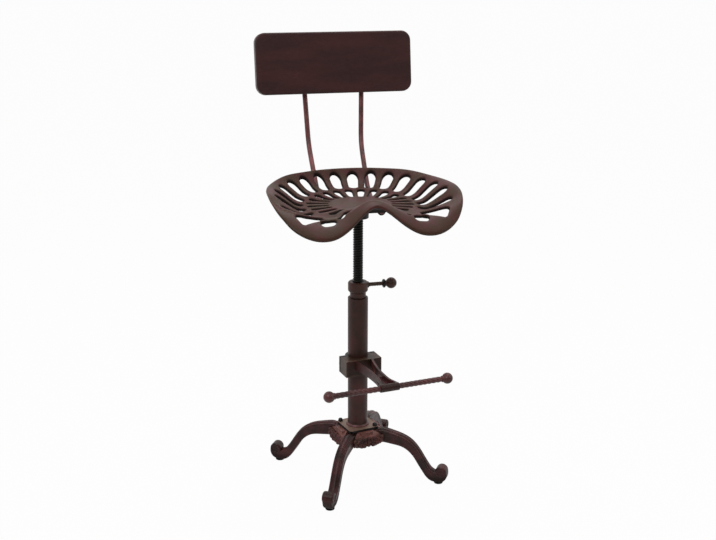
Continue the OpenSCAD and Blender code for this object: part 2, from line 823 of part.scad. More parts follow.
rod_z = spindle_top_z - rod_d / 2;
rod_top_x = rod_x + rod_spread;
rod_knee_x = rod_x + 0.3 * rod_spread;
rod_knee_back = rod_bend_back + rod_knee_run;
rod_knee_z = rod_z + rod_rise;
panel_bottom_z = rod_knee_z + panel_rise;
rod_lower_bend_r = 120;
rod_upper_bend_r = 100;
bend_overlap = 1;
bend_d = rod_d - 0.1;
rod_up = panel_bottom_z + panel_h * 0.78 - rod_knee_z;

function rod_points(side) = [
    [side * rod_x, rod_start, rod_z],
    [side * rod_x, rod_bend_back, rod_z],
    [side * rod_knee_x, rod_knee_back, rod_knee_z],
    [side * rod_top_x, rod_knee_back + rod_up * tan(back_lean), rod_knee_z + rod_up]];

module back_rod(side) {
    p = rod_points(side);
    d = [for (i = [0:2]) unit(p[i + 1] - p[i])];
    t1 = rod_lower_bend_r * tan(acos(d[0] * d[1]) / 2);
    t2 = rod_upper_bend_r * tan(acos(d[1] * d[2]) / 2);
    color("#6b4a40") {
        bar_between(p[0], p[1] - (t1 - bend_overlap) * d[0], rod_d);
        bar_bend(p[1], d[0], d[1], rod_lower_bend_r, bend_d);
        bar_between(p[1] + (t1 - bend_overlap) * d[1], p[2] - (t2 - bend_overlap) * d[1], rod_d);
        bar_bend(p[2], d[1], d[2], rod_upper_bend_r, bend_d);
        bar_between(p[2] + (t2 - bend_overlap) * d[2], p[3], rod_d);
    }
}

saddle_t = 3;
saddle_w = 16;
saddle_ear = 11;
saddle_screw_d = 5;
saddle_y = [rod_start + 12, rod_start + 36];

module at_rod_saddles() {
    for (side = [-1, 1], y = saddle_y)
        translate([side * rod_x, y, 0])
            children();
}

module at_rod_screws() {
    for (side = [-1, 1], y = saddle_y)
        translate([side * (rod_x + rod_d / 2 + saddle_t + saddle_ear / 2), y, 0])
            children();
}

// A strap that wraps the underside of a rod and has one ear beside it.
module saddle(width) {
    outer = rod_d / 2 + seat_gap + saddle_t;
    difference() {
        union() {
            rotate([90, 0, 0])
                translate([0, 0, -width / 2])
                    cylinder(r = outer, h = width);
            translate([-outer, -width / 2, 0])
                cube([2 * outer, width, rod_d / 2 + seat_gap]);
            translate([-outer - saddle_ear, -width / 2, rod_d / 2 + seat_gap - saddle_t])
                cube([saddle_ear + 2, width, saddle_t]);
        }
        rotate([90, 0, 0])
            translate([0, 0, -width])
                cylinder(r = rod_d / 2 + seat_gap, h = 2 * width);
        translate([-rod_d / 2 - seat_gap, -width, 0])
            cube([rod_d + 2 * seat_gap, 2 * width, rod_d]);
        translate([-2 * outer - saddle_ear, -width, rod_d / 2 + seat_gap - eps])
            cube([4 * outer + saddle_ear, 2 * width, outer]);
        translate([-outer - saddle_ear / 2 + seat_gap, 0, -rod_d])
            cylinder(d = saddle_screw_d + 2 * seat_gap, h = 2 * rod_d);
    }
}

module rod_saddles() {
    color("#2b2320")
        for (side = [-1, 1], y = saddle_y)
            translate([side * rod_x, y, rod_z])
                mirror([side > 0 ? 1 : 0, 0, 0])
                    saddle(saddle_w);
}

module rod_saddle_screws() {
    head_h = 3.5;
    color("#1c1a18")
        at_rod_screws() {
            translate([0, 0, spindle_top_z + seat_gap - saddle_t - head_h - eps])
                cylinder(d = 2 * saddle_screw_d - 1, h = head_h);
            translate([0, 0, spindle_top_z + seat_gap - saddle_t - 2 * eps])
                cylinder(d = saddle_screw_d, h = saddle_t + seat_plate_t);
        }
}

// ---------- backrest panel ----------

// Turns its children into the panel's own frame: front face on y = 0, lower edge on z = 0.
panel_back = rod_knee_back + (panel_bottom_z - rod_knee_z) * tan(back_lean)
    - (panel_t + rod_d / 2 + seat_gap) / cos(back_lean);

module in_panel() {
    translate([0, panel_back, panel_bottom_z])
        rotate([-back_lean, 0, 0])
            children();
}

// A rounded rectangle that stands upright, from y = 0 to y = depth.
module rounded_sheet(inset, depth) {
    r = panel_corner_r - inset;
    translate([0, depth, 0])
        rotate([90, 0, 0])
            linear_extrude(depth)
                union() {
                    translate([-panel_w / 2 + inset, panel_corner_r])
                        square([panel_w - 2 * inset, panel_h - 2 * panel_corner_r]);
                    translate([-panel_w / 2 + panel_corner_r, inset])
                        square([panel_w - 2 * panel_corner_r, panel_h - 2 * inset]);
                    for (x = [-1, 1], z = [panel_corner_r, panel_h - panel_corner_r])
                        translate([x * (panel_w / 2 - panel_corner_r), z])
                            circle(r = r);
                }
}

panel_screw_up = [28, 88];
panel_screw_d = 4;

// The rods' distance from the middle at height up above the panel's lower edge.
function rod_x_at(up) =
    let (z = panel_bottom_z + up - rod_knee_z) rod_knee_x + (rod_top_x - rod_knee_x) * z / rod_up;

saddle_tilt = atan((rod_top_x - rod_knee_x) / rod_up);
panel_screw_x = rod_d / 2 + saddle_t + 6;
panel_screw_len = 12;

module at_panel_saddles() {
    for (side = [-1, 1], up = panel_screw_up)
        translate([side * rod_x_at(up), panel_t, up])
            rotate([0, side * saddle_tilt, 0])
                children();
}

module at_panel_screws() {
    at_panel_saddles()
        for (e = [-1, 1])
            translate([e * panel_screw_x, 0, 0])
                children();
}

module backrest_front() {
    color("#4b3030")
        in_panel()
            difference() {
                rounded_sheet(0, panel_t - panel_sheet);
                translate([0, panel_sheet, 0])
                    rounded_sheet(panel_sheet, panel_t);
            }
}

module backrest_cover() {
    color("#3f2b2b")
        in_panel()
            difference() {
                translate([0, panel_t - panel_sheet, 0])
                    rounded_sheet(0, panel_sheet);
                at_panel_screws()
                    rotate([90, 0, 0])
                        cylinder(d = panel_screw_d + 2 * seat_gap, h = 4 * panel_sheet, center = true);
            }
}

// Straps that hold the rods against the panel's rear cover.
panel_saddle_h = 14;
panel_saddle_ear_t = 2;

module panel_saddles() {
    inner = rod_d / 2 + seat_gap;
    outer = inner + saddle_t;
    ear_x = panel_screw_x + 5;
    color("#2b2320")
        in_panel()
            at_panel_saddles()
                difference() {
                    translate([0, 0, -panel_saddle_h / 2]) {
                        translate([0, inner, 0])
                            cylinder(r = outer, h = panel_saddle_h);
                        translate([-outer, 0, 0])
                            cube([2 * outer, inner, panel_saddle_h]);
                        translate([-ear_x, 0, 0])
                            cube([2 * ear_x, panel_saddle_ear_t, panel_saddle_h]);
                    }
                    translate([0, inner, -panel_saddle_h])
                        cylinder(r = inner, h = 2 * panel_saddle_h);
                    translate([-inner, -inner, -panel_saddle_h])
                        cube([2 * inner, 2 * inner, 2 * panel_saddle_h]);
                    translate([-2 * ear_x, -2 * outer, -panel_saddle_h])
                        cube([4 * ear_x, 2 * outer, 2 * panel_saddle_h]);
                    for (e = [-1, 1])
                        translate([e * panel_screw_x, 0, 0])
                            rotate([90, 0, 0])
                                cylinder(d = panel_screw_d + 2 * seat_gap, h = 6 * panel_saddle_ear_t, center = true);
                }
}

module panel_screws() {
    head_h = 2.4;
    color("#1c1a18")
        in_panel()
            at_panel_screws()
                rotate([90, 0, 0]) {
                    translate([0, 0, -panel_saddle_ear_t - head_h])
                        cylinder(d = 2 * panel_screw_d, h = head_h);
                    translate([0, 0, -panel_saddle_ear_t - eps])
                        cylinder(d = panel_screw_d, h = panel_screw_len);
                }
}

// ---------- footrest ----------

clamp_clear = 0.3;
clamp_split = 1;
clamp_top_z = plate_top_z + clamp_up;
clamp_z = clamp_top_z - clamp_h;
clamp_w = column_d + 2 * (clamp_clear + clamp_ear_w);
clamp_front = column_r + clamp_clear + clamp_wall;
clamp_bolt_x = clamp_w / 2 - 6;
clamp_bolt_af = 10;
bar_z = clamp_top_z - bar_drop;

module on_footrest() {
    rotate(footrest_turn)
        children();
}

// Half spacing of the arms against distance forward of the axis.
arm_line = [
    [clamp_front - 4, 20], [50, 16.5], [70, 13], [95, 10], [125, 9.5], [148, 11],
    [bar_forward, sleeve_len / 2 - arm_t / 2]];

arm_web_h = 7;

module arm_outline() {
    line = [for (i = [0:20])
        let (y = arm_line[0][0] + (bar_forward - arm_line[0][0]) * i / 20) [smooth_at(arm_line, y, 1), -y]];
    polygon(concat(
        [for (p = line) p + [arm_t / 2, 0]],
        [for (i = [len(line) - 1:-1:0]) line[i] - [arm_t / 2, 0]]));
}

module footrest_bracket() {
    sleeve_r = bar_d / 2 + 2.2;
    color("#5a3a34")
        on_footrest()
            difference() {
                union() {
                    translate([-clamp_w / 2, -clamp_front, clamp_z])
                        cube([clamp_w, clamp_front - clamp_split, clamp_h]);
                    intersection() {
                        for (side = [0, 1])
                            mirror([side, 0, 0])
                                translate([0, 0, bar_z - 40])
                                    linear_extrude(80)
                                        arm_outline();
                        rotate([90, 0, -90])
                            translate([0, 0, -50])
                                linear_extrude(100)
                                    polygon([
                                        [clamp_front - 5, clamp_top_z - arm_h - 4], [clamp_front - 5, clamp_top_z],
                                        [bar_forward, bar_z + sleeve_r - 1], [bar_forward, bar_z - sleeve_r + 1]]);
                    }
                    translate([-sleeve_len / 2, -bar_forward, bar_z])
                        rotate([0, 90, 0])
                            cylinder(r = sleeve_r, h = sleeve_len);
                    translate([0, 0, bar_z - sleeve_r + 1.5])
                        linear_extrude(arm_web_h)
                            polygon([
                                [-9.5, -112], [-sleeve_len / 2 + arm_t / 2, -bar_forward],
                                [sleeve_len / 2 - arm_t / 2, -bar_forward], [9.5, -112]]);
                }
                translate([0, 0, clamp_z - 1])
                    cylinder(r = column_r + clamp_clear, h = clamp_h + 2, $fn = 96);
                translate([-sleeve_len, -bar_forward, bar_z])
                    rotate([0, 90, 0])
                        cylinder(d = bar_d + 2 * run_clear, h = 2 * sleeve_len);
                for (x = [-1, 1])
                    translate([x * clamp_bolt_x, 0, clamp_z + clamp_h / 2])
                        rotate([90, 0, 0])
                            cylinder(d = clamp_bolt_d + 2 * run_clear, h = clamp_front - 6);
            }
}

module footrest_bar() {
    color("#5f3d38")
        on_footrest()
            translate([-bar_span / 2 + bar_ball_d / 2 - 3, -bar_forward, bar_z])
                rotate([0, 90, 0])
                    cylinder(d = bar_d, h = bar_span - bar_ball_d + 6);
}

module bar_ball(side) {
    color("#5f3d38")
        on_footrest()
            translate([side * bar_span / 2, -bar_forward, bar_z])
                rotate(side > 0 ? 180 : 0)
                    difference() {
                        sphere(d = bar_ball_d);
                        translate([bar_ball_d, 0, 0])
                            rotate([0, -90, 0])
                                cylinder(d = bar_d + 2 * run_clear, h = bar_ball_d / 2 + 3 + seat_gap);
                    }
}

module clamp_strap() {
    inner = column_r + clamp_clear;
    color("#3a2826")
        on_footrest()
            difference() {
                union() {
                    translate([0, 0, clamp_z])
                        cylinder(r = inner + strap_t, h = clamp_h);
                    translate([-clamp_w / 2, clamp_split, clamp_z])
                        cube([clamp_w, strap_t, clamp_h]);
                }
                translate([0, 0, clamp_z - 1])
                    cylinder(r = inner, h = clamp_h + 2, $fn = 96);
                translate([-clamp_w, clamp_split - 2 * clamp_w, clamp_z - 1])
                    cube([2 * clamp_w, 2 * clamp_w, clamp_h + 2]);
                for (x = [-1, 1])
                    translate([x * clamp_bolt_x, clamp_split + strap_t, clamp_z + clamp_h / 2])
                        rotate([90, 0, 0]) {
                            translate([0, 0, -20])
                                cylinder(d = clamp_bolt_d + 2 * seat_gap, h = 40);
                            translate([0, 0, -20])
                                cylinder(d = clamp_bolt_af / cos(30) + 2 * seat_gap, h = 20);
                        }
            }
}

module clamp_bolts() {
    head_h = 5.3;
    color("#1c1a18")
        on_footrest()
            for (x = [-1, 1])
                translate([x * clamp_bolt_x, clamp_split + strap_t, clamp_z + clamp_h / 2])
                    rotate([90, 0, 0]) {
                        translate([0, 0, -head_h])
                            hexagon(clamp_bolt_af, head_h);
                        translate([0, 0, -eps])
                            cylinder(d = clamp_bolt_d, h = clamp_front - 2);
                    }
}

base_plate();
hub_casting();
leg_number(0);  // leg_front
leg_number(1);  // leg_right
leg_number(2);  // leg_back
leg_number(3);  // leg_left
foot_pads();
leg_bolts();
leg_nuts();
centre_bolt();
centre_washer();
column_tube();
column_foot_plug();
threaded_bushing();
lock_nut();
lever_rod();
lever_jam_disc();
lever_ball();
guide_bush();
guide_washer();
guide_screw();
spindle();
spindle_flange();
seat_plate();
seat_bolts();
tractor_seat();
back_rod(1);  // back_rod_left
back_rod(-1);  // back_rod_right
rod_saddles();
rod_saddle_screws();
backrest_front();
backrest_cover();
panel_saddles();
panel_screws();
footrest_bracket();
footrest_bar();
bar_ball(1);  // bar_ball_left
bar_ball(-1);  // bar_ball_right
clamp_strap();
clamp_bolts();
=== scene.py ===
# %% [markdown]
# # A screw-height stool with a tractor seat
# The stool is an old farm shape: a slotted cast seat on a long screw, a tube that the screw
# climbs out of, a cast foot with four scrolled legs, a small backrest on two bent rods and a
# footrest that clamps round the tube. All of it wears one aged copper paint.
# The CAD model already holds every piece at its true size. This script loads it as a fixed frame,
# builds the visible pieces again with the softness and the ornament that paint and casting give,
# and gives each piece the finish of its real material.

# %% Load the CAD frame
import json
import math

import bmesh
import bpy
from mathutils import Euler, Matrix, Vector
from mathutils.geometry import delaunay_2d_cdt


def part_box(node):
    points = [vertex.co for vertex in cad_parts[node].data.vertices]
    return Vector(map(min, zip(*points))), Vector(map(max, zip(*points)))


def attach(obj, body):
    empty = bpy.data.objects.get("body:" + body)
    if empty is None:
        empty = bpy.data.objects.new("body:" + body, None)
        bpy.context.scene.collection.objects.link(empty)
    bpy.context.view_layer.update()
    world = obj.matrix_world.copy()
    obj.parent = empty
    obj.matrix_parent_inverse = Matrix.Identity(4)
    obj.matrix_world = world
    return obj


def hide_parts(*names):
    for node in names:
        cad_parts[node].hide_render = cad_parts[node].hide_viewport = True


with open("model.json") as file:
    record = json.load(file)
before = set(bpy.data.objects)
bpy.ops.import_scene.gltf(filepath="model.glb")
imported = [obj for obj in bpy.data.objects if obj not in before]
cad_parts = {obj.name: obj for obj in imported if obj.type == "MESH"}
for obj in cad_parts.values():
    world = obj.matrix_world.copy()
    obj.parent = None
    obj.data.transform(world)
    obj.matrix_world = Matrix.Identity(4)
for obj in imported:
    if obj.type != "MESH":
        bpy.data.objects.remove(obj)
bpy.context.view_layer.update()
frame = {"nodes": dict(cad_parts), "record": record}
nodes = frame["nodes"]

# %% [markdown]
# ## The camera
# The camera stands a little above the seat, to the left of the stool's middle, and looks slightly
# down. A long lens keeps the upright tube nearly parallel. The distances are in metres and the
# focal length follows from the width of the picture.

# %% Camera
IMAGE_W = 716
FOCAL_PX = 1130
SENSOR_W = 36
CAMERA_BACK = 2.3648
CAMERA_UP = 1.1875
CAMERA_TURN, CAMERA_DOWN, CAMERA_ROLL = (math.radians(d) for d in (14, 16.62, 0.145))


def in_scene(name, data):
    """A new object with that mesh, lamp or camera, put in the scene."""
    thing = bpy.data.objects.new(name, data)
    bpy.context.scene.collection.objects.link(thing)
    return thing


camera_data = bpy.data.cameras.new("camera")
camera_data.sensor_width = SENSOR_W
camera_data.lens = FOCAL_PX / IMAGE_W * SENSOR_W
camera = in_scene("camera", camera_data)
bpy.context.scene.camera = camera
camera.location = (-CAMERA_BACK * math.sin(CAMERA_TURN), -CAMERA_BACK * math.cos(CAMERA_TURN), CAMERA_UP)
look = (Euler((math.pi / 2 - CAMERA_DOWN, 0, -CAMERA_TURN)).to_matrix()
        @ Matrix.Rotation(CAMERA_ROLL, 3, "Z"))
camera.rotation_euler = look.to_euler()
print("lens", round(camera_data.lens, 2), "mm")

# %% [markdown]
# ## Small tools for making meshes
# Sizes are written in millimetres, as on a workshop drawing. A shell is a list of points and a
# list of faces. A piece may hold several shells, so a ball with its neck or a casting with its
# ornament is one object. Its object stays at the origin and its place is in its mesh, so a
# pattern that reads object coordinates stays put when the part moves.

# %% Pieces from shells
MM = 0.001
CREASE = 38  # degrees between two faces from which their edge stays hard


def new_piece(name, *shells, crease=CREASE):
    """An object made of shells in millimetres, shaded smooth except at edges sharper than crease."""
    points, faces = [], []
    for shell_points, shell_faces in shells:
        start = len(points)
        points += [Vector(p) * MM for p in shell_points]
        faces += [[start + i for i in face] for face in shell_faces]
    mesh = bpy.data.meshes.new(name)
    mesh.from_pydata(points, [], faces)
    mesh.shade_smooth()
    mesh.set_sharp_from_angle(angle=math.radians(crease))
    return in_scene(name, mesh)


def moved(shell, matrix):
    """The same shell in another place."""
    return [matrix @ Vector(p) for p in shell[0]], shell[1]


def placed(at, aim):
    """Puts what stands on the origin and points up at another place, pointing along aim."""
    return Matrix.Translation(Vector(at)) @ Vector(aim).to_track_quat("Z", "Y").to_matrix().to_4x4()


# %% Rounded outlines
def eased_outline(corners, closed=False, steps=5):
    """Corners (a, b, rounding): each corner with a rounding becomes a short curve."""
    outline = []
    for i, (a, b, *rounding) in enumerate(corners):
        if not rounding or (not closed and i in (0, len(corners) - 1)):
            outline.append((a, b))
            continue
        here = Vector((a, b))
        back = Vector(corners[i - 1][:2]) - here
        ahead = Vector(corners[(i + 1) % len(corners)][:2]) - here
        reach = min(rounding[0], back.length * 0.49, ahead.length * 0.49)
        p, q = here + back.normalized() * reach, here + ahead.normalized() * reach
        for k in range(steps + 1):
            t = k / steps
            outline.append(tuple((1 - t) ** 2 * p + 2 * t * (1 - t) * here + t * t * q))
    return outline


# %% Turned shapes
def turned(corners, hollow=False, sides=64):
    """A shape turned on a lathe from corners (radius, height, rounding), foot first, outside first.

    A hollow shape's corners close into a ring, so it has a bore."""
    points, faces, rings = [], [], []
    for radius, height in eased_outline(corners, hollow):
        count = 1 if radius < 1e-6 else sides
        rings.append([len(points) + i for i in range(count)])
        for i in range(count):
            turn = 2 * math.pi * i / sides
            points.append((radius * math.cos(turn), radius * math.sin(turn), height))
    for low, high in zip(rings, rings[1:] + (rings[:1] if hollow else [])):
        for i in range(sides):
            j = (i + 1) % sides
            if len(low) > 1 and len(high) > 1:
                faces.append((low[i], low[j], high[j], high[i]))
            elif len(high) > 1:
                faces.append((low[0], high[j], high[i]))
            elif len(low) > 1:
                faces.append((low[i], low[j], high[0]))
    return points, faces


# %% Lofted shapes
def lofted(rings):
    """A closed skin over rings of points that turn the same way, with a face over each end."""
    count = len(rings[0])
    points = [p for ring in rings for p in ring]
    faces = [(k * count + i, k * count + (i + 1) % count,
              (k + 1) * count + (i + 1) % count, (k + 1) * count + i)
             for k in range(len(rings) - 1) for i in range(count)]
    last = (len(rings) - 1) * count
    faces.append(list(range(count))[::-1])
    faces.append([last + i for i in range(count)])
    return points, faces


def smooth_line(points, steps):
    """Points along a smooth curve through the given ones, steps to each span."""
    p = [Vector(q) for q in points]
    line = []
    for i in range(len(p) - 1):
        a, b, c, d = p[max(i - 1, 0)], p[i], p[i + 1], p[min(i + 2, len(p) - 1)]
        for k in range(steps):
            s = k / steps
            line.append(0.5 * (2 * b + (c - a) * s + (2 * a - 5 * b + 4 * c - d) * s ** 2
                               + (3 * b - a - 3 * c + d) * s ** 3))
    return line + [p[-1]]


# %% Round bars along a path
def bent_path(corners, bends, step_deg=5):
    """Straight runs joined by round bends of the given radii at the inner corners."""
    corners = [Vector(c) for c in corners]
    path = [corners[0]]
    for before, here, after, radius in zip(corners, corners[1:], corners[2:], bends):
        u, w = (here - before).normalized(), (after - here).normalized()
        turn = u.angle(w)
        centre = here + (w - u).normalized() * radius / math.cos(turn / 2)
        start = here - u * radius * math.tan(turn / 2)
        steps = max(3, round(math.degrees(turn) / step_deg))
        for k in range(steps + 1):
            path.append(centre + Matrix.Rotation(turn * k / steps, 3, u.cross(w)) @ (start - centre))
    return path + [corners[-1]]


def round_bar(path, radius, ease=1.0, sides=28):
    """A round bar along a path, its two ends eased."""
    first, last = (path[1] - path[0]).normalized(), (path[-1] - path[-2]).normalized()
    line = [path[0], path[0] + first * ease] + path[1:-1] + [path[-1] - last * ease, path[-1]]
    widths = [radius - ease] + [radius] * (len(line) - 2) + [radius - ease]
    across = first.orthogonal().normalized()
    rings = []
    for i, (p, width) in enumerate(zip(line, widths)):
        aim = (line[min(i + 1, len(line) - 1)] - line[max(i - 1, 0)]).normalized()
        across = (across - aim * across.dot(aim)).normalized()
        up = aim.cross(across)
        rings.append([p + width * (math.cos(t) * across + math.sin(t) * up)
                      for t in (2 * math.pi * k / sides for k in range(sides))])
    return lofted(rings)


# %% Softened copies of CAD nodes
WELD = 1e-6  # metres within which two points are one
FLAT = math.radians(0.5)  # faces that meet flatter than this become one
BEVEL_STEPS = 3


def softened(name, node, width, extra=()):
    """A copy of a plain CAD node, with extra shells, whose hard edges are eased by a bevel."""
    piece = new_piece(name, *extra)
    shape = bmesh.new()
    shape.from_mesh(nodes[node].data)
    bmesh.ops.remove_doubles(shape, verts=shape.verts, dist=WELD)
    bmesh.ops.dissolve_limit(shape, angle_limit=FLAT, verts=shape.verts, edges=shape.edges)
    shape.from_mesh(piece.data)
    shape.to_mesh(piece.data)
    shape.free()
    piece.data.shade_smooth()
    piece.data.set_sharp_from_angle(angle=math.radians(CREASE))
    bevel = piece.modifiers.new("soft edges", "BEVEL")
    bevel.width = width * MM
    bevel.segments = BEVEL_STEPS
    bevel.limit_method = "ANGLE"
    bevel.angle_limit = math.radians(CREASE)
    bevel.harden_normals = True
    return piece


# %% [markdown]
# ## Node trees
# Materials and Geometry Nodes trees are both made of nodes with settings and links. One small
# function adds a node, so each tree reads as a list of what it does. Colours are written as hex
# values in sRGB and turned to the linear numbers that the shaders expect.

# %% Node helper and colours
def add_node(tree, kind, feeds=None, **settings):
    """Adds a node. feeds maps its inputs to numbers, colours or the sockets that feed them."""
    node = tree.nodes.new(kind)
    for key, value in settings.items():
        setattr(node, key, value)
    for socket, value in (feeds or {}).items():
        if isinstance(value, bpy.types.NodeSocket):
            tree.links.new(value, node.inputs[socket])
        else:
            node.inputs[socket].default_value = value
    return node


def linear(hex_colour):
    """A hex sRGB colour as linear RGBA."""
    channels = [int(hex_colour[i:i + 2], 16) / 255 for i in (1, 3, 5)]
    return tuple(c / 12.92 if c <= 0.04045 else ((c + 0.055) / 1.055) ** 2.4 for c in channels) + (1,)


def new_material(name):
    """A new material, its node tree and the inputs of its shader."""
    material = bpy.data.materials.new(name)
    material.use_nodes = True
    return material, material.node_tree, material.node_tree.nodes["Principled BSDF"].inputs


# %% [markdown]
# ## Aged copper paint
# The castings, the tubes and the rods are sprayed with a dark brown base and then dusted with a
# red copper tone that gathers in some places and is rubbed off in others. To the eye that gives
# soft patches a few centimetres wide, a fine grain from the spray, and paler edges, which are partly
# wear and partly a painted highlight. Noise patterns on object coordinates make the patches, the
# grain and the fine unevenness of the skin, and the mesh's pointiness finds the edges, so the paler
# colour sits where hands and rags would rub and where an edge would catch the light.
# A mask on the mesh marks where shade is painted: there the colour turns near-black and the paint duller.

# %% Aged copper paint
GRAIN_MM, SKIN_MM = 2.2, 1.4  # real spray grain is finer; it is drawn this coarse so that it shows
SKIN_DEPTH, SKIN_BUMP = 0.4 * MM, 0.15
PAINT_ROUGHNESS = 0.42
# how much rougher the paint grows where shade is painted
PAINTED_SHADE_DULLNESS = 0.35


def aged_copper_paint(name, dark, copper, worn_and_lit, red_share=0.5, patch_mm=30, grain=0.1, wear_and_edge_light=0.6,
                      painted_shade="#1a100e", specular=0.25, stretch=1.0):
    """Brown base with copper-red drifts, spray grain, paler edges of wear and painted highlight, and painted
    shade where the mesh's mask asks for it.

    With a stretch above 1 the drifts and the grain run sideways, as a wiping rag leaves them."""
    paint, tree, surface = new_material(name)
    where = add_node(tree, "ShaderNodeTexCoord").outputs["Object"]
    swept = add_node(tree, "ShaderNodeMapping", {
        "Vector": where, "Scale": (1 / stretch, 1, 1)}).outputs["Vector"]
    edge = add_node(tree, "ShaderNodeNewGeometry").outputs["Pointiness"]
    # the share of painted shade at each point, from the mesh's mask
    painted_shade_share = add_node(tree, "ShaderNodeAttribute", attribute_name="painted_shade").outputs["Fac"]

    # three patterns: what they lie in, their size in millimetres, their detail and its roughness
    drifts, speckle, skin = (
        add_node(tree, "ShaderNodeTexNoise", {
            "Vector": space, "Scale": 1 / (size_mm * MM), "Detail": detail,
            "Roughness": rough}).outputs["Fac"]
        for space, size_mm, detail, rough in (
            (swept, patch_mm, 2.5, 0.55), (swept, GRAIN_MM, 2.0, 0.6), (where, SKIN_MM, 3.0, 0.55)))

    # each pattern's range, and what it becomes there; a larger red share lets the red set in sooner
    red_here, shade, rubbed_and_lit, gloss = (
        add_node(tree, "ShaderNodeMapRange", {
            "Value": value, "From Min": low, "From Max": high, "To Min": least, "To Max": most},
            interpolation_type=kind).outputs["Result"]
        for value, low, high, least, most, kind in (
            (drifts, 0.55 - 0.4 * red_share, 0.95 - 0.4 * red_share, 0.0, 1.0, "SMOOTHSTEP"),
            (speckle, 0.3, 0.7, 1 - grain, 1 + grain, "LINEAR"),
            (edge, 0.53, 0.6, 0.0, wear_and_edge_light, "LINEAR"),
            (speckle, 0.25, 0.75, PAINT_ROUGHNESS - 0.06, PAINT_ROUGHNESS + 0.08, "LINEAR")))

    body = add_node(tree, "ShaderNodeMix", {
        "Factor": red_here, "A": linear(dark), "B": linear(copper)}, data_type="RGBA")
    grained = add_node(tree, "ShaderNodeVectorMath", {
        0: body.outputs["Result"], "Scale": shade}, operation="SCALE")
    # paler edges found by pointiness: partly wear and partly a painted highlight
    rubbed_and_lit_here = add_node(tree, "ShaderNodeMath", {0: rubbed_and_lit, 1: drifts}, operation="MULTIPLY")
    with_wear_and_edge_light = add_node(tree, "ShaderNodeMix", {
        "Factor": rubbed_and_lit_here.outputs["Value"], "A": grained.outputs["Vector"], "B": linear(worn_and_lit)},
        data_type="RGBA")
    # painted shade: the colour turns near-black, and the gloss duller, where the mask is set
    colour = add_node(tree, "ShaderNodeMix", {
        "Factor": painted_shade_share, "A": with_wear_and_edge_light.outputs["Result"], "B": linear(painted_shade)}, data_type="RGBA")
    roughness = add_node(tree, "ShaderNodeMath", {0: painted_shade_share, 1: PAINTED_SHADE_DULLNESS, 2: gloss},
                         operation="MULTIPLY_ADD")
    bumps = add_node(tree, "ShaderNodeBump", {
        "Strength": SKIN_BUMP, "Distance": SKIN_DEPTH, "Height": skin})
    tree.links.new(colour.outputs["Result"], surface["Base Color"])
    tree.links.new(roughness.outputs["Value"], surface["Roughness"])
    tree.links.new(bumps.outputs["Normal"], surface["Normal"])
    surface["Specular IOR Level"].default_value = specular
    return paint


# %% The paint on each kind of piece
leg_finish = aged_copper_paint(
    "copper painted cast iron", "#2b1a15", "#542b2b", "#946056",
    red_share=0.55, patch_mm=38, wear_and_edge_light=0.95, grain=0.14, specular=0.22)
# the seat's painted shade, in its slot walls and underside, is nearly black
seat_finish = aged_copper_paint(
    "copper painted cast seat", "#3e2a1e", "#4c2727", "#8e765e",
    red_share=0.55, patch_mm=38, wear_and_edge_light=0.75, painted_shade="#100907", specular=0.16)
# the plate paint is pale as painted light: it stands for the light on the plate's top
plate_finish = aged_copper_paint("copper painted plate with painted light", "#80685a", "#6c4c42", "#b09a86", red_share=0.3)
tube_finish = aged_copper_paint("dark copper painted tube", "#35211a", "#4c2724", "#6e5048", patch_mm=40)
rod_finish = aged_copper_paint(
    "copper painted rod", "#4a2825", "#85484a", "#a8786c", red_share=0.6, specular=0.45)
bar_finish = aged_copper_paint(
    "dark copper painted bar", "#2b1713", "#653433", "#a87c70",
    red_share=0.68, patch_mm=90, wear_and_edge_light=0.9, specular=0.4)
turned_finish = aged_copper_paint(
    "brown painted turned steel", "#3c281f", "#54302a", "#80604e", red_share=0.45)
# the panel's reddish edges are its edge highlights painted in, along with wear
panel_finish = aged_copper_paint(
    "copper painted sheet", "#3c2928", "#4a2d2c", "#8a5046", grain=0.08, wear_and_edge_light=0.9, specular=0.16, stretch=5)
block_finish = aged_copper_paint(
    "dark copper painted bracket", "#2a1a13", "#3c221d", "#a88c74", red_share=0.35, wear_and_edge_light=1.0, specular=0.18)
black_finish = aged_copper_paint("dark brown paint", "#17110f", "#241918", "#3a2e2a", red_share=0.4)
print("paints:", len(bpy.data.materials))

# %% [markdown]
# ## Black steel, rubber and nylon
# The screw is bare steel with a black oxide skin and oil in its thread, the bolts are blackened
# steel, the feet stand on black rubber and the guide inside the tube is white nylon. Each looks
# almost even: two near tones with a mottle of a millimetre or two, and a gloss that wavers with it.

# %% Plain materials
MOTTLE_DEPTH, MOTTLE_BUMP = 0.3 * MM, 0.1


def plain_finish(name, colour, second, roughness, grain_mm, specular=0.5):
    """A material with a fine mottle between two near colours, uneven gloss and a fine bump."""
    finish, tree, surface = new_material(name)
    where = add_node(tree, "ShaderNodeTexCoord").outputs["Object"]
    mottle = add_node(tree, "ShaderNodeTexNoise", {
        "Vector": where, "Scale": 1 / (grain_mm * MM), "Detail": 3.0, "Roughness": 0.6}).outputs["Fac"]
    colours = add_node(tree, "ShaderNodeMix", {
        "Factor": mottle, "A": linear(colour), "B": linear(second)}, data_type="RGBA")
    gloss = add_node(tree, "ShaderNodeMapRange", {
        "Value": mottle, "To Min": roughness - 0.1, "To Max": roughness + 0.1})
    bumps = add_node(tree, "ShaderNodeBump", {
        "Strength": MOTTLE_BUMP, "Distance": MOTTLE_DEPTH, "Height": mottle})
    tree.links.new(colours.outputs["Result"], surface["Base Color"])
    tree.links.new(gloss.outputs["Result"], surface["Roughness"])
    tree.links.new(bumps.outputs["Normal"], surface["Normal"])
    surface["Specular IOR Level"].default_value = specular
    return finish


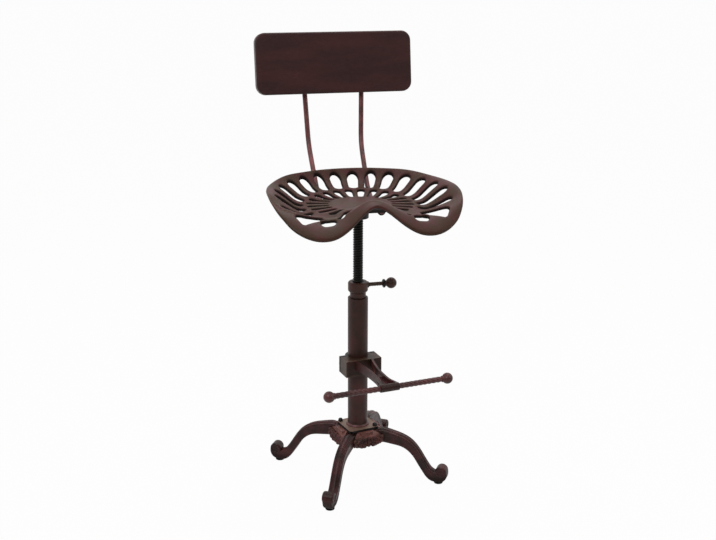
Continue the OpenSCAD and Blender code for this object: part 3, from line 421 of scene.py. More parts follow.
screw_finish = plain_finish("oiled black oxide steel", "#0b0b07", "#191913", 0.45, 1.5, specular=0.2)
bolt_finish = plain_finish("blackened steel", "#0e0b0a", "#1c1714", 0.5, 1.5, specular=0.25)
rubber_finish = plain_finish("moulded black rubber", "#0d0d0d", "#171717", 0.75, 0.8, specular=0.3)
nylon_finish = plain_finish("white nylon", "#d8d2c4", "#cbc4b4", 0.5, 2.0)

# %% Which finish goes where
finish_of_slot = {
    "leg_iron": leg_finish, "seat_iron": seat_finish, "plate_iron": plate_finish,
    "frame_steel": tube_finish, "copper_steel": rod_finish, "panel_steel": panel_finish,
    "dark_steel": black_finish, "screw_steel": screw_finish, "fastener_steel": bolt_finish,
    "pad_rubber": rubber_finish, "bush_nylon": nylon_finish}
slot_of_node = {s["node"]: s["material_slot"] for s in frame["record"]["subparts"]}
for node, shape in nodes.items():
    shape.data.materials.clear()
    shape.data.materials.append(finish_of_slot[slot_of_node[node]])
print("materials in all:", len(bpy.data.materials))


def stand_for(piece, body, *replaced, finish=None):
    """The piece rides on a body, takes a finish and is shown in place of CAD nodes."""
    slot = slot_of_node[replaced[0]]
    piece.data.materials.clear()
    piece.data.materials.append(finish or finish_of_slot[slot])
    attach(piece, body)
    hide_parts(*replaced)
    print(piece.name, "on", body, len(piece.data.polygons), "faces")


def second_finish(piece, finish, chosen):
    """Another finish for the faces of which chosen(face) is true."""
    piece.data.materials.append(finish)
    for face in piece.data.polygons:
        face.material_index = int(chosen(face))


# %% [markdown]
# ## The seat pan
# The seat is one iron casting: a dished pan with two thigh lobes, a pommel between them, a rolled
# rim and rings of slots that leave bars like the ribs of a shell. Its height over the floor is one
# smooth rule in polar form, so the top and the underside are made from that rule. The slots are
# outlines in plan, each a hull of circles. Every slot edge gets its own rings of points that turn
# from the face into the wall, and the rest of the plan is filled with small triangles. A boolean
# would leave hard, pinched edges; laying the rings first gives the soft edge of a casting.

# %% Smooth steps and smooth tables
def clamp01(x):
    """The nearest value from 0 to 1."""
    return max(0.0, min(1.0, x))


def eased(x):
    """A smooth step from 0 to 1."""
    c = clamp01(x)
    return c * c * (3 - 2 * c)


def along(table, x, column):
    """A value read smoothly from the rows of a table, level at both ends."""
    i = 0
    while i < len(table) - 2 and x >= table[i + 1][0]:
        i += 1

    def slope(k):
        if k in (0, len(table) - 1):
            return 0
        return (table[k + 1][column] - table[k - 1][column]) / (table[k + 1][0] - table[k - 1][0])

    width = table[i + 1][0] - table[i][0]
    s = (x - table[i][0]) / width
    a, b = table[i][column], table[i + 1][column]
    return (a * (2 * s ** 3 - 3 * s ** 2 + 1) + width * slope(i) * (s ** 3 - 2 * s ** 2 + s)
            + b * (3 * s ** 2 - 2 * s ** 3) + width * slope(i + 1) * (s ** 3 - s ** 2))


# %% The pan's rule
PAN_R = 202
PAN_FORWARD = 18
PAN_Z = 626
PAN_WALL = 53.5
POMMEL_H, POMMEL_HALF_W, POMMEL_FROM, POMMEL_RUN = 45, 45, 50, 95
WIDER_FROM, WIDER_RUN = 105, 45
MIDDLE_RISE, MIDDLE_R, MIDDLE_RUN = 9, 108, 38
MIDDLE_FRONT, MIDDLE_FRONT_RUN = 80, 50
# angle from the rear, rim radius beyond PAN_R, wall share, roll drop, roll start, rim band,
# wall start, ease share
PAN_STATIONS = [
    (0, -30.5, 1, 0, 0.9, 5.5, 0.4, 0), (30, -30.5, 1.02, 0, 0.9, 4.5, 0.4, 0),
    (50, -20, 1.01, 0, 0.9, 10, 0.49, 0.45), (70, -9, 0.9, 0, 0.9, 15, 0.55, 0.9),
    (90, 0, 0.88, 0, 0.9, 17, 0.56, 1), (100, 6, 0.86, 0, 0.88, 18, 0.56, 0.9),
    (110, 14, 0.8, 5, 0.85, 21, 0.55, 0.5), (120, 19, 0.67, 17, 0.82, 22, 0.5, 0.6),
    (130, 18, 0.34, 22, 0.75, 22, 0.4, 1), (140, 7, 0.17, 28, 0.65, 22, 0.3, 1),
    (150, -13, 0.11, 30, 0.6, 22, 0.3, 1), (160, -36, 0.06, 24, 0.65, 22, 0.3, 1),
    (170, -54, 0.02, 15, 0.72, 22, 0.3, 1), (180, -61, 0, 9, 0.75, 22, 0.3, 1)]


def rim_radius(angle):
    """Radius of the rim at an angle from the rear."""
    return PAN_R + along(PAN_STATIONS, angle, 1)


def polar(u, v):
    """Angle from the rear and radius of a plan point: u to the side, v forwards of the column."""
    return math.degrees(math.atan2(abs(u), PAN_FORWARD - v)), math.hypot(u, v - PAN_FORWARD)


def pan_height(u, v):
    """Height of the pan's face over the floor."""
    angle, radius = polar(u, v)
    share = radius / rim_radius(angle)
    start, mix = along(PAN_STATIONS, angle, 6), along(PAN_STATIONS, angle, 7)
    up = clamp01((share - start) / (1 - start))
    wall = PAN_WALL * along(PAN_STATIONS, angle, 2) * ((1 - mix) * up ** 2.5 + mix * eased(up))
    roll_from = along(PAN_STATIONS, angle, 4)
    roll = along(PAN_STATIONS, angle, 3) * clamp01((share - roll_from) / (1 - roll_from)) ** 2
    half = POMMEL_HALF_W * (0.67 + 0.33 * eased((v - WIDER_FROM) / WIDER_RUN))
    pommel = POMMEL_H * math.exp(-u * u / (2 * half * half)) * eased((v - POMMEL_FROM) / POMMEL_RUN)
    middle = (MIDDLE_RISE * (1 - eased((radius - MIDDLE_R) / MIDDLE_RUN))
              * (1 - eased((v - MIDDLE_FRONT) / MIDDLE_FRONT_RUN)))
    return PAN_Z + middle + wall + pommel - roll


print("rim height at the rear", round(pan_height(0, PAN_FORWARD - rim_radius(0)), 1), "mm")

# %% Outlines of the slots
OUTLINE_STEP, OUTLINE_LEAST = 2.0, 20


def hull_corners(cloud):
    """The corners of the hull round sorted plan points, anticlockwise."""
    chains = []
    for order in (cloud, cloud[::-1]):
        chain = []
        for p in order:
            while len(chain) > 1 and ((chain[-1][0] - chain[-2][0]) * (p[1] - chain[-2][1])
                                      - (chain[-1][1] - chain[-2][1]) * (p[0] - chain[-2][0])) <= 0:
                chain.pop()
            chain.append(p)
        chains += chain[:-1]
    return [Vector(p) for p in chains]


def hull_outline(circles):
    """Evenly spaced points round the hull of circles (u, v, diameter), anticlockwise."""
    corners = hull_corners(sorted({
        (round(u + d / 2 * math.cos(t), 5), round(v + d / 2 * math.sin(t), 5))
        for u, v, d in circles for t in (math.pi * k / 24 for k in range(48))}))
    lengths = [(corners[(i + 1) % len(corners)] - c).length for i, c in enumerate(corners)]
    count = max(OUTLINE_LEAST, round(sum(lengths) / OUTLINE_STEP))
    outline, i, done = [], 0, 0.0
    for k in range(count):
        target = sum(lengths) * k / count
        while done + lengths[i] < target:
            done += lengths[i]
            i += 1
        outline.append(corners[i].lerp(corners[(i + 1) % len(corners)], (target - done) / lengths[i]))
    return outline


def on_ray(angle, radius, width):
    """A circle of that width at a polar place of the pan."""
    turn = math.radians(angle)
    return radius * math.sin(turn), PAN_FORWARD - radius * math.cos(turn), width


# %% The slots in plan
SLOT_PITCH = 14.9  # degrees
SLOTS_A_SIDE, TAPER_FROM, TAPER = 8, 60, 0.86
BAR_W, BAR_W_FROM = 15, 135
OUTER_FROM, OUTER_END = 122, 12
INNER_FROM, INNER_TO, INNER_W, INNER_SMALL = 68, 115, 16, 0.62
# circles (to the side, forwards, diameter) whose hulls are the slots of a thigh lobe
LOBE_SLOTS = [[(154, 131.5, 15), (146.5, 143.5, 15), (111, 117, 15), (110.5, 130, 15)],
              [(91, 147, 18.5), (104, 147, 18.5)],
              [(50, 105, 14), (70, 138, 14)]]


def bar_gap(radius):
    """Width left between two bars at a radius."""
    return radius * math.radians(SLOT_PITCH) - BAR_W


slots = []
for side in (-1, 1):
    for k in range(SLOTS_A_SIDE):
        angle = (k + 0.5) * SLOT_PITCH
        outer = rim_radius(angle) - along(PAN_STATIONS, angle, 5)
        near = bar_gap(BAR_W_FROM)
        far = bar_gap(outer - OUTER_END) * (TAPER if angle > TAPER_FROM else 1)
        slots.append(hull_outline([on_ray(side * angle, OUTER_FROM + near / 2, near),
                                   on_ray(side * angle, outer - far / 2, far)]))
    for circles in LOBE_SLOTS:
        slots.append(hull_outline([(side * u, v, d) for u, v, d in circles]))
for k in range(-SLOTS_A_SIDE - 1, SLOTS_A_SIDE + 2):
    small = INNER_W * INNER_SMALL
    slots.append(hull_outline([on_ray(k * SLOT_PITCH, INNER_FROM + small / 2, small),
                               on_ray(k * SLOT_PITCH, INNER_TO - INNER_W / 2, INNER_W)]))
print("slots:", len(slots))

# %% Tools for the plan
PAN_T, PAN_T_MOST = 7, 10.5


def pushed(outline, distance):
    """The outline moved outwards, or inwards for a negative distance."""
    result = []
    for i, p in enumerate(outline):
        run = outline[(i + 1) % len(outline)] - outline[i - 1]
        result.append(p + Vector((run.y, -run.x)).normalized() * distance)
    return result


def inside(p, outline):
    """Whether a plan point lies inside an outline."""
    hit = False
    for i, b in enumerate(outline):
        a = outline[i - 1]
        if (a.y > p.y) != (b.y > p.y) and p.x < (b.x - a.x) * (p.y - a.y) / (b.y - a.y) + a.x:
            hit = not hit
    return hit


def pan_thickness(u, v):
    """Upright thickness of the casting, which is more where the pan is steep."""
    run = Vector((pan_height(u + 1, v) - pan_height(u - 1, v),
                  pan_height(u, v + 1) - pan_height(u, v - 1)))
    return min(PAN_T * math.sqrt(1 + run.length_squared / 4), PAN_T_MOST)


# %% Points in plan
SLOT_ROUND, UNDER_ROUND = 3.0, 1.0
RIM_T, RIM_POINTS, RIM_CLEAR = 6.0, 260, 2.5
GRID, GRID_REACH, SLOT_CLEAR = 4.6, 230, 2
rim = []
for k in reversed(range(RIM_POINTS)):
    angle = 180 - 360 * k / RIM_POINTS
    rim.append(Vector(on_ray(angle, rim_radius(abs(angle)), 0)[:2]))
rim_inner = pushed(rim, -RIM_T / 2)
slot_outer = [pushed(outline, SLOT_ROUND) for outline in slots]
slot_reach = []
for outline in slot_outer:
    middle = sum(outline, Vector((0, 0))) / len(outline)
    slot_reach.append((middle, max((p - middle).length for p in outline)))


def in_a_slot(p, clear=0):
    """Whether a plan point lies in the rounded edge of a slot, or within clear of it."""
    return any((p - middle).length < reach + clear and inside(p, pushed(outline, clear) if clear else outline)
               for outline, (middle, reach) in zip(slot_outer, slot_reach))


plan = [*rim_inner]
borders = [(i, (i + 1) % len(rim)) for i in range(len(rim))]
for outline in slot_outer:
    start = len(plan)
    plan += outline
    borders += [(start + i, start + (i + 1) % len(outline)) for i in range(len(outline))]
rows = range(-int(GRID_REACH / GRID), int(GRID_REACH / GRID) + 1)
for p in (Vector((i * GRID, PAN_FORWARD + j * GRID)) for i in rows for j in rows):
    angle, radius = polar(*p)
    if radius <= rim_radius(angle) - RIM_T / 2 - RIM_CLEAR and not in_a_slot(p, SLOT_CLEAR):
        plan.append(p)
print("plan points:", len(plan))

# %% Triangles in plan
verts, _, faces, sources, _, _ = delaunay_2d_cdt(plan, borders, [], 0, 1e-5)
kept = []
for face in faces:
    p = sum((verts[i] for i in face), Vector((0, 0))) / len(face)
    angle, radius = polar(*p)
    on_pan = radius <= rim_radius(angle) - RIM_T or inside(p, rim_inner)
    if on_pan and not in_a_slot(p):
        kept.append(face)
print("plan triangles:", len(kept), "of", len(faces))

# %% Top and underside
top_points = [(p.x, -p.y, pan_height(*p)) for p in verts]
under_points = [(p.x, -p.y, pan_height(*p) - pan_thickness(*p)) for p in verts]
pan_points = top_points + under_points
pan_faces = [list(f)[::-1] for f in kept] + [[i + len(verts) for i in f] for f in kept]
# painted shade: the whole underside is painted fully dark
painted_shade_of_point = {i + len(verts): 1.0 for i in range(len(verts))}
first = {o: i for i, origins in enumerate(sources) for o in origins}
print("pan points:", len(pan_points))


# %% Slot walls and rim
def ring_of(outline, share, round_r):
    """A ring of a rounded edge: where it stands, and how far it is from its face."""
    turn = math.pi / 2 * share
    return pushed(outline, round_r * (1 - math.cos(turn))), round_r * (1 - math.sin(turn))


def add_ring(ring, height_of, dark=0.0):
    """Adds the points of a ring to the pan, with dark as their share of painted shade, and returns their
    numbers.
    """
    here = list(range(len(pan_points), len(pan_points) + len(ring)))
    pan_points.extend((p.x, -p.y, height_of(p)) for p in ring)
    painted_shade_of_point.update(dict.fromkeys(here, dark))
    return here


def join_rings(low, high):
    """Faces between two rings, and the second ring, from which the next one goes on."""
    for i in range(len(low)):
        j = (i + 1) % len(low)
        pan_faces.append([low[i], high[i], high[j], low[j]])
    return high


# the slot walls are painted dark as shade: a little on the upper rounding, fully on the under rounding
start = len(rim)
for outline in slots:
    edge = [first[i] for i in range(start, start + len(outline))]
    start += len(outline)
    last = edge
    for share in (2 / 3, 1 / 3, 0):
        ring, drop = ring_of(outline, share, SLOT_ROUND)
        last = join_rings(last, add_ring(ring, lambda p: pan_height(*p) - drop, 0.9 * (1 - share) ** 2))
    for share in (0, 1 / 3, 2 / 3):
        ring, drop = ring_of(outline, share, UNDER_ROUND)
        last = join_rings(last, add_ring(
            ring, lambda p: pan_height(*p) - pan_thickness(*p) + drop, 1.0))
    join_rings(last, [i + len(verts) for i in edge])

edge = [first[i] for i in range(len(rim))]
last = edge
for turn in (60, 30, 0, -30, -60):
    t = math.radians(turn)
    here = add_ring(pushed(rim, -RIM_T / 2 * (1 - math.cos(t))),
                    lambda p: pan_height(*p) - RIM_T / 2 + RIM_T / 2 * math.sin(t))
    join_rings(here, last)
    last = here
join_rings([i + len(verts) for i in edge], last)
print("pan faces:", len(pan_faces))


# %% The seat
def faced_out(piece, weld=False):
    """Turns all faces of a piece outwards, after joining points that coincide if weld is set."""
    shape = bmesh.new()
    shape.from_mesh(piece.data)
    if weld:
        bmesh.ops.remove_doubles(shape, verts=shape.verts, dist=WELD)
    bmesh.ops.recalc_face_normals(shape, faces=shape.faces)
    shape.to_mesh(piece.data)
    shape.free()


def mark_painted_shade(piece, shares):
    """Stores how much shade is painted at each point, from 0 to 1, in a mask that the paint reads."""
    marks = piece.data.attributes.new("painted_shade", "FLOAT", "POINT")
    marks.data.foreach_set("value", shares)


SEAT_BOLTS = [(x, y) for x in (-34, 34) for y in (0, 32)]
BOSS_R, BOSS_LOW, BOSS_HIGH = 8, 618.3, 631
boss = turned([(0, BOSS_LOW), (BOSS_R, BOSS_LOW, 0.8), (BOSS_R, BOSS_HIGH, 1.2), (0, BOSS_HIGH + 1)], sides=32)
seat_bosses = [moved(boss, Matrix.Translation((x, y, 0))) for x, y in SEAT_BOLTS]
seat = new_piece("cast_tractor_seat", (pan_points, pan_faces), *seat_bosses, crease=60)
faced_out(seat)
mark_painted_shade(seat, [painted_shade_of_point.get(i, 0.0) for i in range(len(seat.data.vertices))])
stand_for(seat, "seat", "tractor_seat")

# %% [markdown]
# ## The screw, the twisted bar and the lever
# A thread and a rope twist follow the same rule: the radius of a round bar rises and falls as it
# turns round the bar and along it. One Geometry Nodes tree bends a flat grid into such a bar, with
# named inputs for the radii, the number of strands and the length in which they wind once. One
# strand with a short lead is a screw thread, four strands with a long lead are a rope twist.

# %% Trees with named inputs
def new_tree(name, output, inputs):
    """A Geometry Nodes tree with named inputs of the given kinds and one output of geometry."""
    tree = bpy.data.node_groups.new(name, "GeometryNodeTree")
    for label, kind in inputs.items():
        tree.interface.new_socket(label, in_out="INPUT", socket_type="NodeSocket" + kind)
    tree.interface.new_socket(output, in_out="OUTPUT", socket_type="NodeSocketGeometry")
    return tree, tree.nodes.new("NodeGroupInput").outputs


def finish_tree(tree, output, geometry, finish):
    """Ends a tree: instances become real mesh and everything takes the finish."""
    real = add_node(tree, "GeometryNodeRealizeInstances", {"Geometry": geometry})
    painted = add_node(tree, "GeometryNodeSetMaterial", {"Geometry": real.outputs[0], "Material": finish})
    add_node(tree, "NodeGroupOutput", {output: painted.outputs[0]})
    print(len(tree.nodes), "nodes in the tree", tree.name)


# %% A wound bar in Geometry Nodes
LAST_ROW = 0.49999  # a row of the grid further than this from the middle closes the bar's end
wound, size = new_tree("wound bar", "Bar", {
    "Length": "Float", "Root radius": "Float", "Crest radius": "Float", "Strands": "Float",
    "Lead": "Float", "Sides": "Int", "Steps": "Int", "Place": "Vector", "Turn": "Vector",
    "Finish": "Material"})
sheet = add_node(wound, "GeometryNodeMeshGrid", {
    "Size X": 1.0, "Size Y": 1.0, "Vertices X": size["Sides"], "Vertices Y": size["Steps"]})
flat = add_node(wound, "ShaderNodeSeparateXYZ", {0: add_node(wound, "GeometryNodeInputPosition").outputs[0]})

# each step has a name, an operation and what it works on: numbers, inputs or the steps before it
rule = {"round": flat.outputs["X"], "along": flat.outputs["Y"]}
rule.update((label, size[label]) for label in ("Length", "Lead", "Strands"))
for step, operation, *terms in (
        ("angle", "MULTIPLY", "round", 2 * math.pi), ("share", "ADD", "along", 0.5),
        ("height", "MULTIPLY", "share", "Length"), ("leads", "DIVIDE", "height", "Lead"),
        ("turns", "SUBTRACT", "leads", "round"), ("phase", "MULTIPLY", "turns", "Strands"),
        ("wave angle", "MULTIPLY", "phase", math.pi), ("swing", "SINE", "wave angle"),
        ("wave", "ABSOLUTE", "swing"), ("off middle", "ABSOLUTE", "along"),
        ("before end", "LESS_THAN", "off middle", LAST_ROW),
        ("cosine", "COSINE", "angle"), ("sine", "SINE", "angle")):
    rule[step] = add_node(wound, "ShaderNodeMath", {
        i: rule.get(term, term) for i, term in enumerate(terms)}, operation=operation).outputs[0]

radius = add_node(wound, "ShaderNodeMapRange", {
    "Value": rule["wave"], "To Min": size["Root radius"], "To Max": size["Crest radius"]})
closing = add_node(wound, "ShaderNodeMath", {
    0: radius.outputs["Result"], 1: rule["before end"]}, operation="MULTIPLY")
x, y = (add_node(wound, "ShaderNodeMath", {
    0: rule[step], 1: closing.outputs[0]}, operation="MULTIPLY") for step in ("cosine", "sine"))
bent = add_node(wound, "GeometryNodeSetPosition", {
    "Geometry": sheet.outputs["Mesh"],
    "Position": add_node(wound, "ShaderNodeCombineXYZ", {
        0: x.outputs[0], 1: y.outputs[0], 2: rule["height"]}).outputs[0]})
closed = add_node(wound, "GeometryNodeMergeByDistance", {"Geometry": bent.outputs[0], "Distance": WELD})
there = add_node(wound, "GeometryNodeTransform", {
    "Geometry": closed.outputs[0], "Translation": size["Place"], "Rotation": size["Turn"]})
smooth = add_node(wound, "GeometryNodeSetShadeSmooth", {"Geometry": there.outputs[0]})
finish_tree(wound, "Bar", smooth.outputs[0], size["Finish"])

# %% The screw
PITCH = 5.5 * MM
SCREW_ROOT, SCREW_CREST = 8.8, 11.2
STEPS_A_TURN = 10


def baked(name, tree, sizes, maker=None):
    """Runs a Geometry Nodes tree with named sizes and keeps what it makes as a plain mesh."""
    maker = maker or new_piece(name + "_maker")
    modifier = maker.modifiers.new("nodes", "NODES")
    modifier.node_group = tree
    sockets = {s.name: s.identifier for s in tree.interface.items_tree if s.in_out == "INPUT"}
    for label, value in sizes.items():
        modifier[sockets[label]] = value
    made = maker.evaluated_get(bpy.context.evaluated_depsgraph_get())
    mesh = bpy.data.meshes.new_from_object(made)
    mesh.name = name
    piece = in_scene(name, mesh)
    bpy.data.objects.remove(maker)
    return piece


screw_low, screw_high = (c.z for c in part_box("spindle"))
screw = baked("threaded_screw", wound, {
    "Length": screw_high - screw_low, "Root radius": SCREW_ROOT * MM, "Crest radius": SCREW_CREST * MM,
    "Strands": 1.0, "Lead": PITCH, "Sides": 33,
    "Steps": int((screw_high - screw_low) / PITCH * STEPS_A_TURN),
    "Place": (0, 0, screw_low), "Turn": (0, 0, 0), "Finish": screw_finish})
stand_for(screw, "seat", "spindle")

# %% [markdown]
# ## Under the seat
# The screw ends in a flange under the seat plate, and the plate carries the pan on four bolts and
# the two back rods in pressed straps. These are plain plates, so the CAD shape is kept and only its
# edges are eased; the flange is a turned disc round the screw's end.

# %% Flange, plate and straps
FLANGE_BORE, FLANGE_R = 11.3, 23
flange_low, flange_high = (c.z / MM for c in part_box("spindle_flange"))
flange = new_piece("seat_flange", turned([
    (FLANGE_BORE, flange_low), (FLANGE_R, flange_low, 1.5), (FLANGE_R, flange_high, 1.0),
    (FLANGE_BORE, flange_high)], hollow=True))
stand_for(flange, "seat", "spindle_flange")
stand_for(softened("seat_mount_plate", "seat_plate", 1.0), "seat", "seat_plate")
stand_for(softened("rod_straps", "rod_saddles", 0.8), "seat", "rod_saddles")

# %% [markdown]
# ## The back rods
# Each rod is one bent bar: level under the seat, up behind the rim, then leaning back behind the
# panel. A swept round bar with true bend radii shows the long highlight of a drawn rod.

# %% Back rods
ROD_X, ROD_Z, ROD_R = 58, 604.8, 5.6
ROD_BENDS = [120, 100]
for side, name in ((-1, "left"), (1, "right")):
    path = bent_path([(side * ROD_X, 16, ROD_Z), (side * ROD_X, 127, ROD_Z),
                      (side * 61.81, 223.7, 721), (side * 70.7, 256.5, 945.9)], ROD_BENDS)
    stand_for(new_piece("bent_back_rod_" + name, round_bar(path, ROD_R)), "seat", "back_rod_" + name)

# %% [markdown]
# ## The backrest
# The panel is a pressed sheet with rolled edges and a flat sheet welded over its rear. It is lofted
# from rounded rectangles that grow to full size over the rolled edge and step in at the weld seam.

# %% Backrest panel
PANEL_W, PANEL_H, PANEL_T, PANEL_CORNER = 359, 137, 24, 22
PANEL_LEAN = math.radians(-8.3)
PANEL_FOOT = (0, 210.70, 839)
PANEL_EDGE = 4.0
# how far each ring of the seam stands in from the outline, and how far before the panel's rear
SEAM = [(0, 3.4), (0.3, 3.0), (0.9, 2.5), (0.3, 2.0), (0, 1.6), (0, 0.9), (0.3, 0.3), (0.9, 0), (2.5, 0)]


def rounded_frame(inset, depth, steps=10):
    """A rounded rectangle inside the panel's outline, at a depth behind its front."""
    ring = []
    for cx, cz, turn in ((1, 1, 0), (-1, 1, 90), (-1, -1, 180), (1, -1, 270)):
        x = cx * (PANEL_W / 2 - PANEL_CORNER)
        z = PANEL_H / 2 + cz * (PANEL_H / 2 - PANEL_CORNER)
        for k in range(steps + 1):
            t = math.radians(turn + 90 * k / steps)
            ring.append(Vector((x + (PANEL_CORNER - inset) * math.cos(t), depth,
                                z + (PANEL_CORNER - inset) * math.sin(t))))
    return ring


panel_rings = [rounded_frame(PANEL_EDGE + 1.5, 0)]
panel_rings += [rounded_frame(PANEL_EDGE * (1 - math.sin(t)), PANEL_EDGE * (1 - math.cos(t)))
                for t in (math.radians(15 * k) for k in range(7))]
panel_rings += [rounded_frame(inset, PANEL_T - before) for inset, before in SEAM]
in_panel = Matrix.Translation(PANEL_FOOT) @ Matrix.Rotation(PANEL_LEAN, 4, "X")
panel = new_piece("backrest_panel", moved(lofted(panel_rings), in_panel))
stand_for(panel, "seat", "backrest_front", "backrest_cover")
stand_for(softened("panel_straps", "panel_saddles", 0.7), "seat", "panel_saddles")

# %% [markdown]
# ## The column
# A steel tube welded to the base plate. The weld shows as a low flared bead at its foot, and the
# top end is turned with an eased lip, inside which the screw and its bushing sit. The bead is a
# part of the turned outline, and its faces take the redder paint that runs into such a corner.

# %% Column tube
COLUMN_R, BORE_R = 22.25, 19.65
WELD_H, WELD_IN = 5, 1  # faces below this height and outside this depth are the bead
tube_low, tube_high = (c.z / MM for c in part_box("column_tube"))
column = new_piece("column", turned([
    (BORE_R, tube_low), (COLUMN_R + 3.6, tube_low), (COLUMN_R + 3.4, tube_low + 2.2, 1.2),
    (COLUMN_R + 0.9, tube_low + 4.4, 1.5), (COLUMN_R, tube_low + 6, 1.5), (COLUMN_R, tube_high, 1.8),
    (BORE_R, tube_high, 0.6)], hollow=True, sides=96))
stand_for(column, "base", "column_tube")
second_finish(column, rod_finish, lambda face: (
    face.center.z / MM < tube_low + WELD_H and face.center.xy.length / MM > COLUMN_R - WELD_IN))

# %% [markdown]
# ## The lock nut and its lever
# The nut clamps the screw at the chosen height. It has a narrow neck, a turned body and a boss for
# the lever, which is a short twisted rod with a small disc and a ball. The rod is the wound bar
# again, with four strands; all the others are turned shapes.

# %% Lock nut and disc
NUT_FOOT, NUT_SHOULDER, NUT_TOP, LEVER_Z = 420.3, 436, 456, 447
NUT_BORE, NUT_NECK, NUT_R, NUT_RECESS = 11.3, 17.5, 22, 12.7
along_x = placed((0, 0, LEVER_Z), (1, 0, 0))
nut_body = turned([
    (NUT_BORE, NUT_FOOT), (NUT_NECK, NUT_FOOT, 0.5), (NUT_NECK, NUT_SHOULDER - 5, 1.0),
    (NUT_R, NUT_SHOULDER, 1.5), (NUT_R, NUT_TOP - 2.6, 0.8), (19.6, NUT_TOP, 0.8),
    (NUT_RECESS, NUT_TOP, 0.5), (NUT_RECESS, NUT_TOP - 3, 0.4), (NUT_BORE, NUT_TOP - 3)],
    hollow=True, sides=96)
lever_boss = turned([(0, 18), (8.4, 18), (8.4, 19.6, 0.8), (6.4, 24.6, 0.8), (0, 24.6)], sides=40)
stand_for(new_piece("lock_nut_body", nut_body, moved(lever_boss, along_x)), "lock", "lock_nut",
          finish=turned_finish)
disc = turned([(4.6, 55.8), (7.2, 55.8, 0.5), (9.5, 57.2, 0.9), (9.5, 60.8, 0.9), (4.6, 60.8)],
              hollow=True, sides=48)
stand_for(new_piece("lever_disc", moved(disc, along_x)), "lock", "lever_jam_disc")


# %% The lever and its ball
LEVER_FROM, LEVER_LONG, LEVER_LEAD = 20, 42, 22.4


def ball_with_neck(radius, centre, neck_r, neck_from):
    """Corners for a ball at a height on its axis, with a short neck below it."""
    meet = math.asin(neck_r / radius)
    arc = [(radius * math.sin(t), centre - radius * math.cos(t))
           for t in (meet + (math.pi - meet) * k / 24 for k in range(24))]
    return [(0, neck_from), (neck_r, neck_from, 0.5),
            (neck_r, centre - radius * math.cos(meet) - 0.4, 0.3), *arc, (0, centre + radius)]


ball = new_piece("lever_ball_knob", moved(turned(ball_with_neck(12.3, 75.4, 6.4, 61.1), sides=48), along_x))
stand_for(ball, "lock", "lever_ball", finish=turned_finish)
lever = baked("twisted_lever", wound, {
    "Length": LEVER_LONG * MM, "Root radius": 3.6 * MM, "Crest radius": 4.5 * MM, "Strands": 4.0,
    "Lead": LEVER_LEAD * MM, "Sides": 41, "Steps": 85, "Place": (LEVER_FROM * MM, 0, LEVER_Z * MM),
    "Turn": (0, math.pi / 2, 0), "Finish": turned_finish})
stand_for(lever, "lock", "lever_rod", finish=turned_finish)

# %% [markdown]
# ## The footrest
# A split clamp holds the footrest on the tube. Two arms run out of the block and curve to the
# twisted bar, which ends in two balls. The CAD bracket has the right arms, so it is softened as a
# casting would be; the bar is the same wound bar as the screw, with four strands.

# %% Footrest bar and balls
FOOTREST_TURN = math.radians(8.7)
BAR_FORWARD, BAR_Z, BAR_HALF, BAR_LEAD = 172.8, 271.8, 136, 42
BALL_R, BALL_NECK, IN_BALL = 12, 7.0, 6
on_footrest = Matrix.Rotation(FOOTREST_TURN, 4, "Z")
bar_start = on_footrest @ Vector((-BAR_HALF + IN_BALL, -BAR_FORWARD, BAR_Z))
bar = baked("twisted_footrest_bar", wound, {
    "Length": 2 * (BAR_HALF - IN_BALL) * MM, "Root radius": 5.2 * MM, "Crest radius": 6.2 * MM,
    "Strands": 4.0, "Lead": BAR_LEAD * MM, "Sides": 49, "Steps": 260, "Place": bar_start * MM,
    "Turn": (0, math.pi / 2, FOOTREST_TURN), "Finish": bar_finish})
stand_for(bar, "footrest", "footrest_bar", finish=bar_finish)
bar_middle = on_footrest @ Vector((0, -BAR_FORWARD, BAR_Z))
end_ball = turned(ball_with_neck(BALL_R, BAR_HALF, BALL_NECK, BAR_HALF - 13), sides=48)
for side, name in ((-1, "left"), (1, "right")):
    to_end = placed(bar_middle, on_footrest @ Vector((side, 0, 0)))
    stand_for(new_piece("footrest_ball_" + name, moved(end_ball, to_end)), "footrest", "bar_ball_" + name,
              finish=bar_finish)

# %% Footrest bracket and clamp
ARMS_FROM = -38  # the arms are what lies further forward than this; they have the legs' paint
casting = softened("footrest_casting", "footrest_bracket", 1.2)
stand_for(casting, "footrest", "footrest_bracket", finish=block_finish)
second_finish(casting, leg_finish,
              lambda face: (on_footrest.inverted() @ (face.center / MM)).y < ARMS_FROM)
stand_for(softened("clamp_back_strap", "clamp_strap", 1.2), "footrest", "clamp_strap")

# %% [markdown]
# ## The cast foot
# Four legs are bolted under a square plate. Each leg has a raised round ridge between two grooves,
# slightly hollow sides and a foot that curls round a knob. A leg is lofted from a section that is
# carried along its top and bottom lines; the knob is turned and lies across the end of the curl.

# %% Leg section and lines
LEG_W, LEG_TAPER, TAPER_RUN = 24, 1.5, (60, 80)
LEG_LINES = [  # distance and height of the top line, then of the under line
    ((30.3, 112.2), (30.3, 84.5)), ((48.5, 112.1), (47, 84.3)), ((54, 114.2), (54, 84)),
    ((64, 115), (66, 83.6)), ((80, 112), (84, 81.8)), ((103, 106.6), (101, 79.6)),
    ((121, 99), (113, 75.7)), ((135, 88.4), (124, 68.4)), ((147, 74), (134, 58)),
    ((157, 58.6), (144.5, 42)), ((166, 44.5), (154.5, 27)), ((174, 34), (164, 14)),
    ((181, 29.5), (175, 5.6)), ((188, 27.8), (188, 3.4)), ((194.5, 28.5), (200, 4.6)),
    ((198.5, 29.5), (208.5, 11)), ((198.5, 30), (212.3, 20.5)), ((198.5, 30), (212.3, 29))]


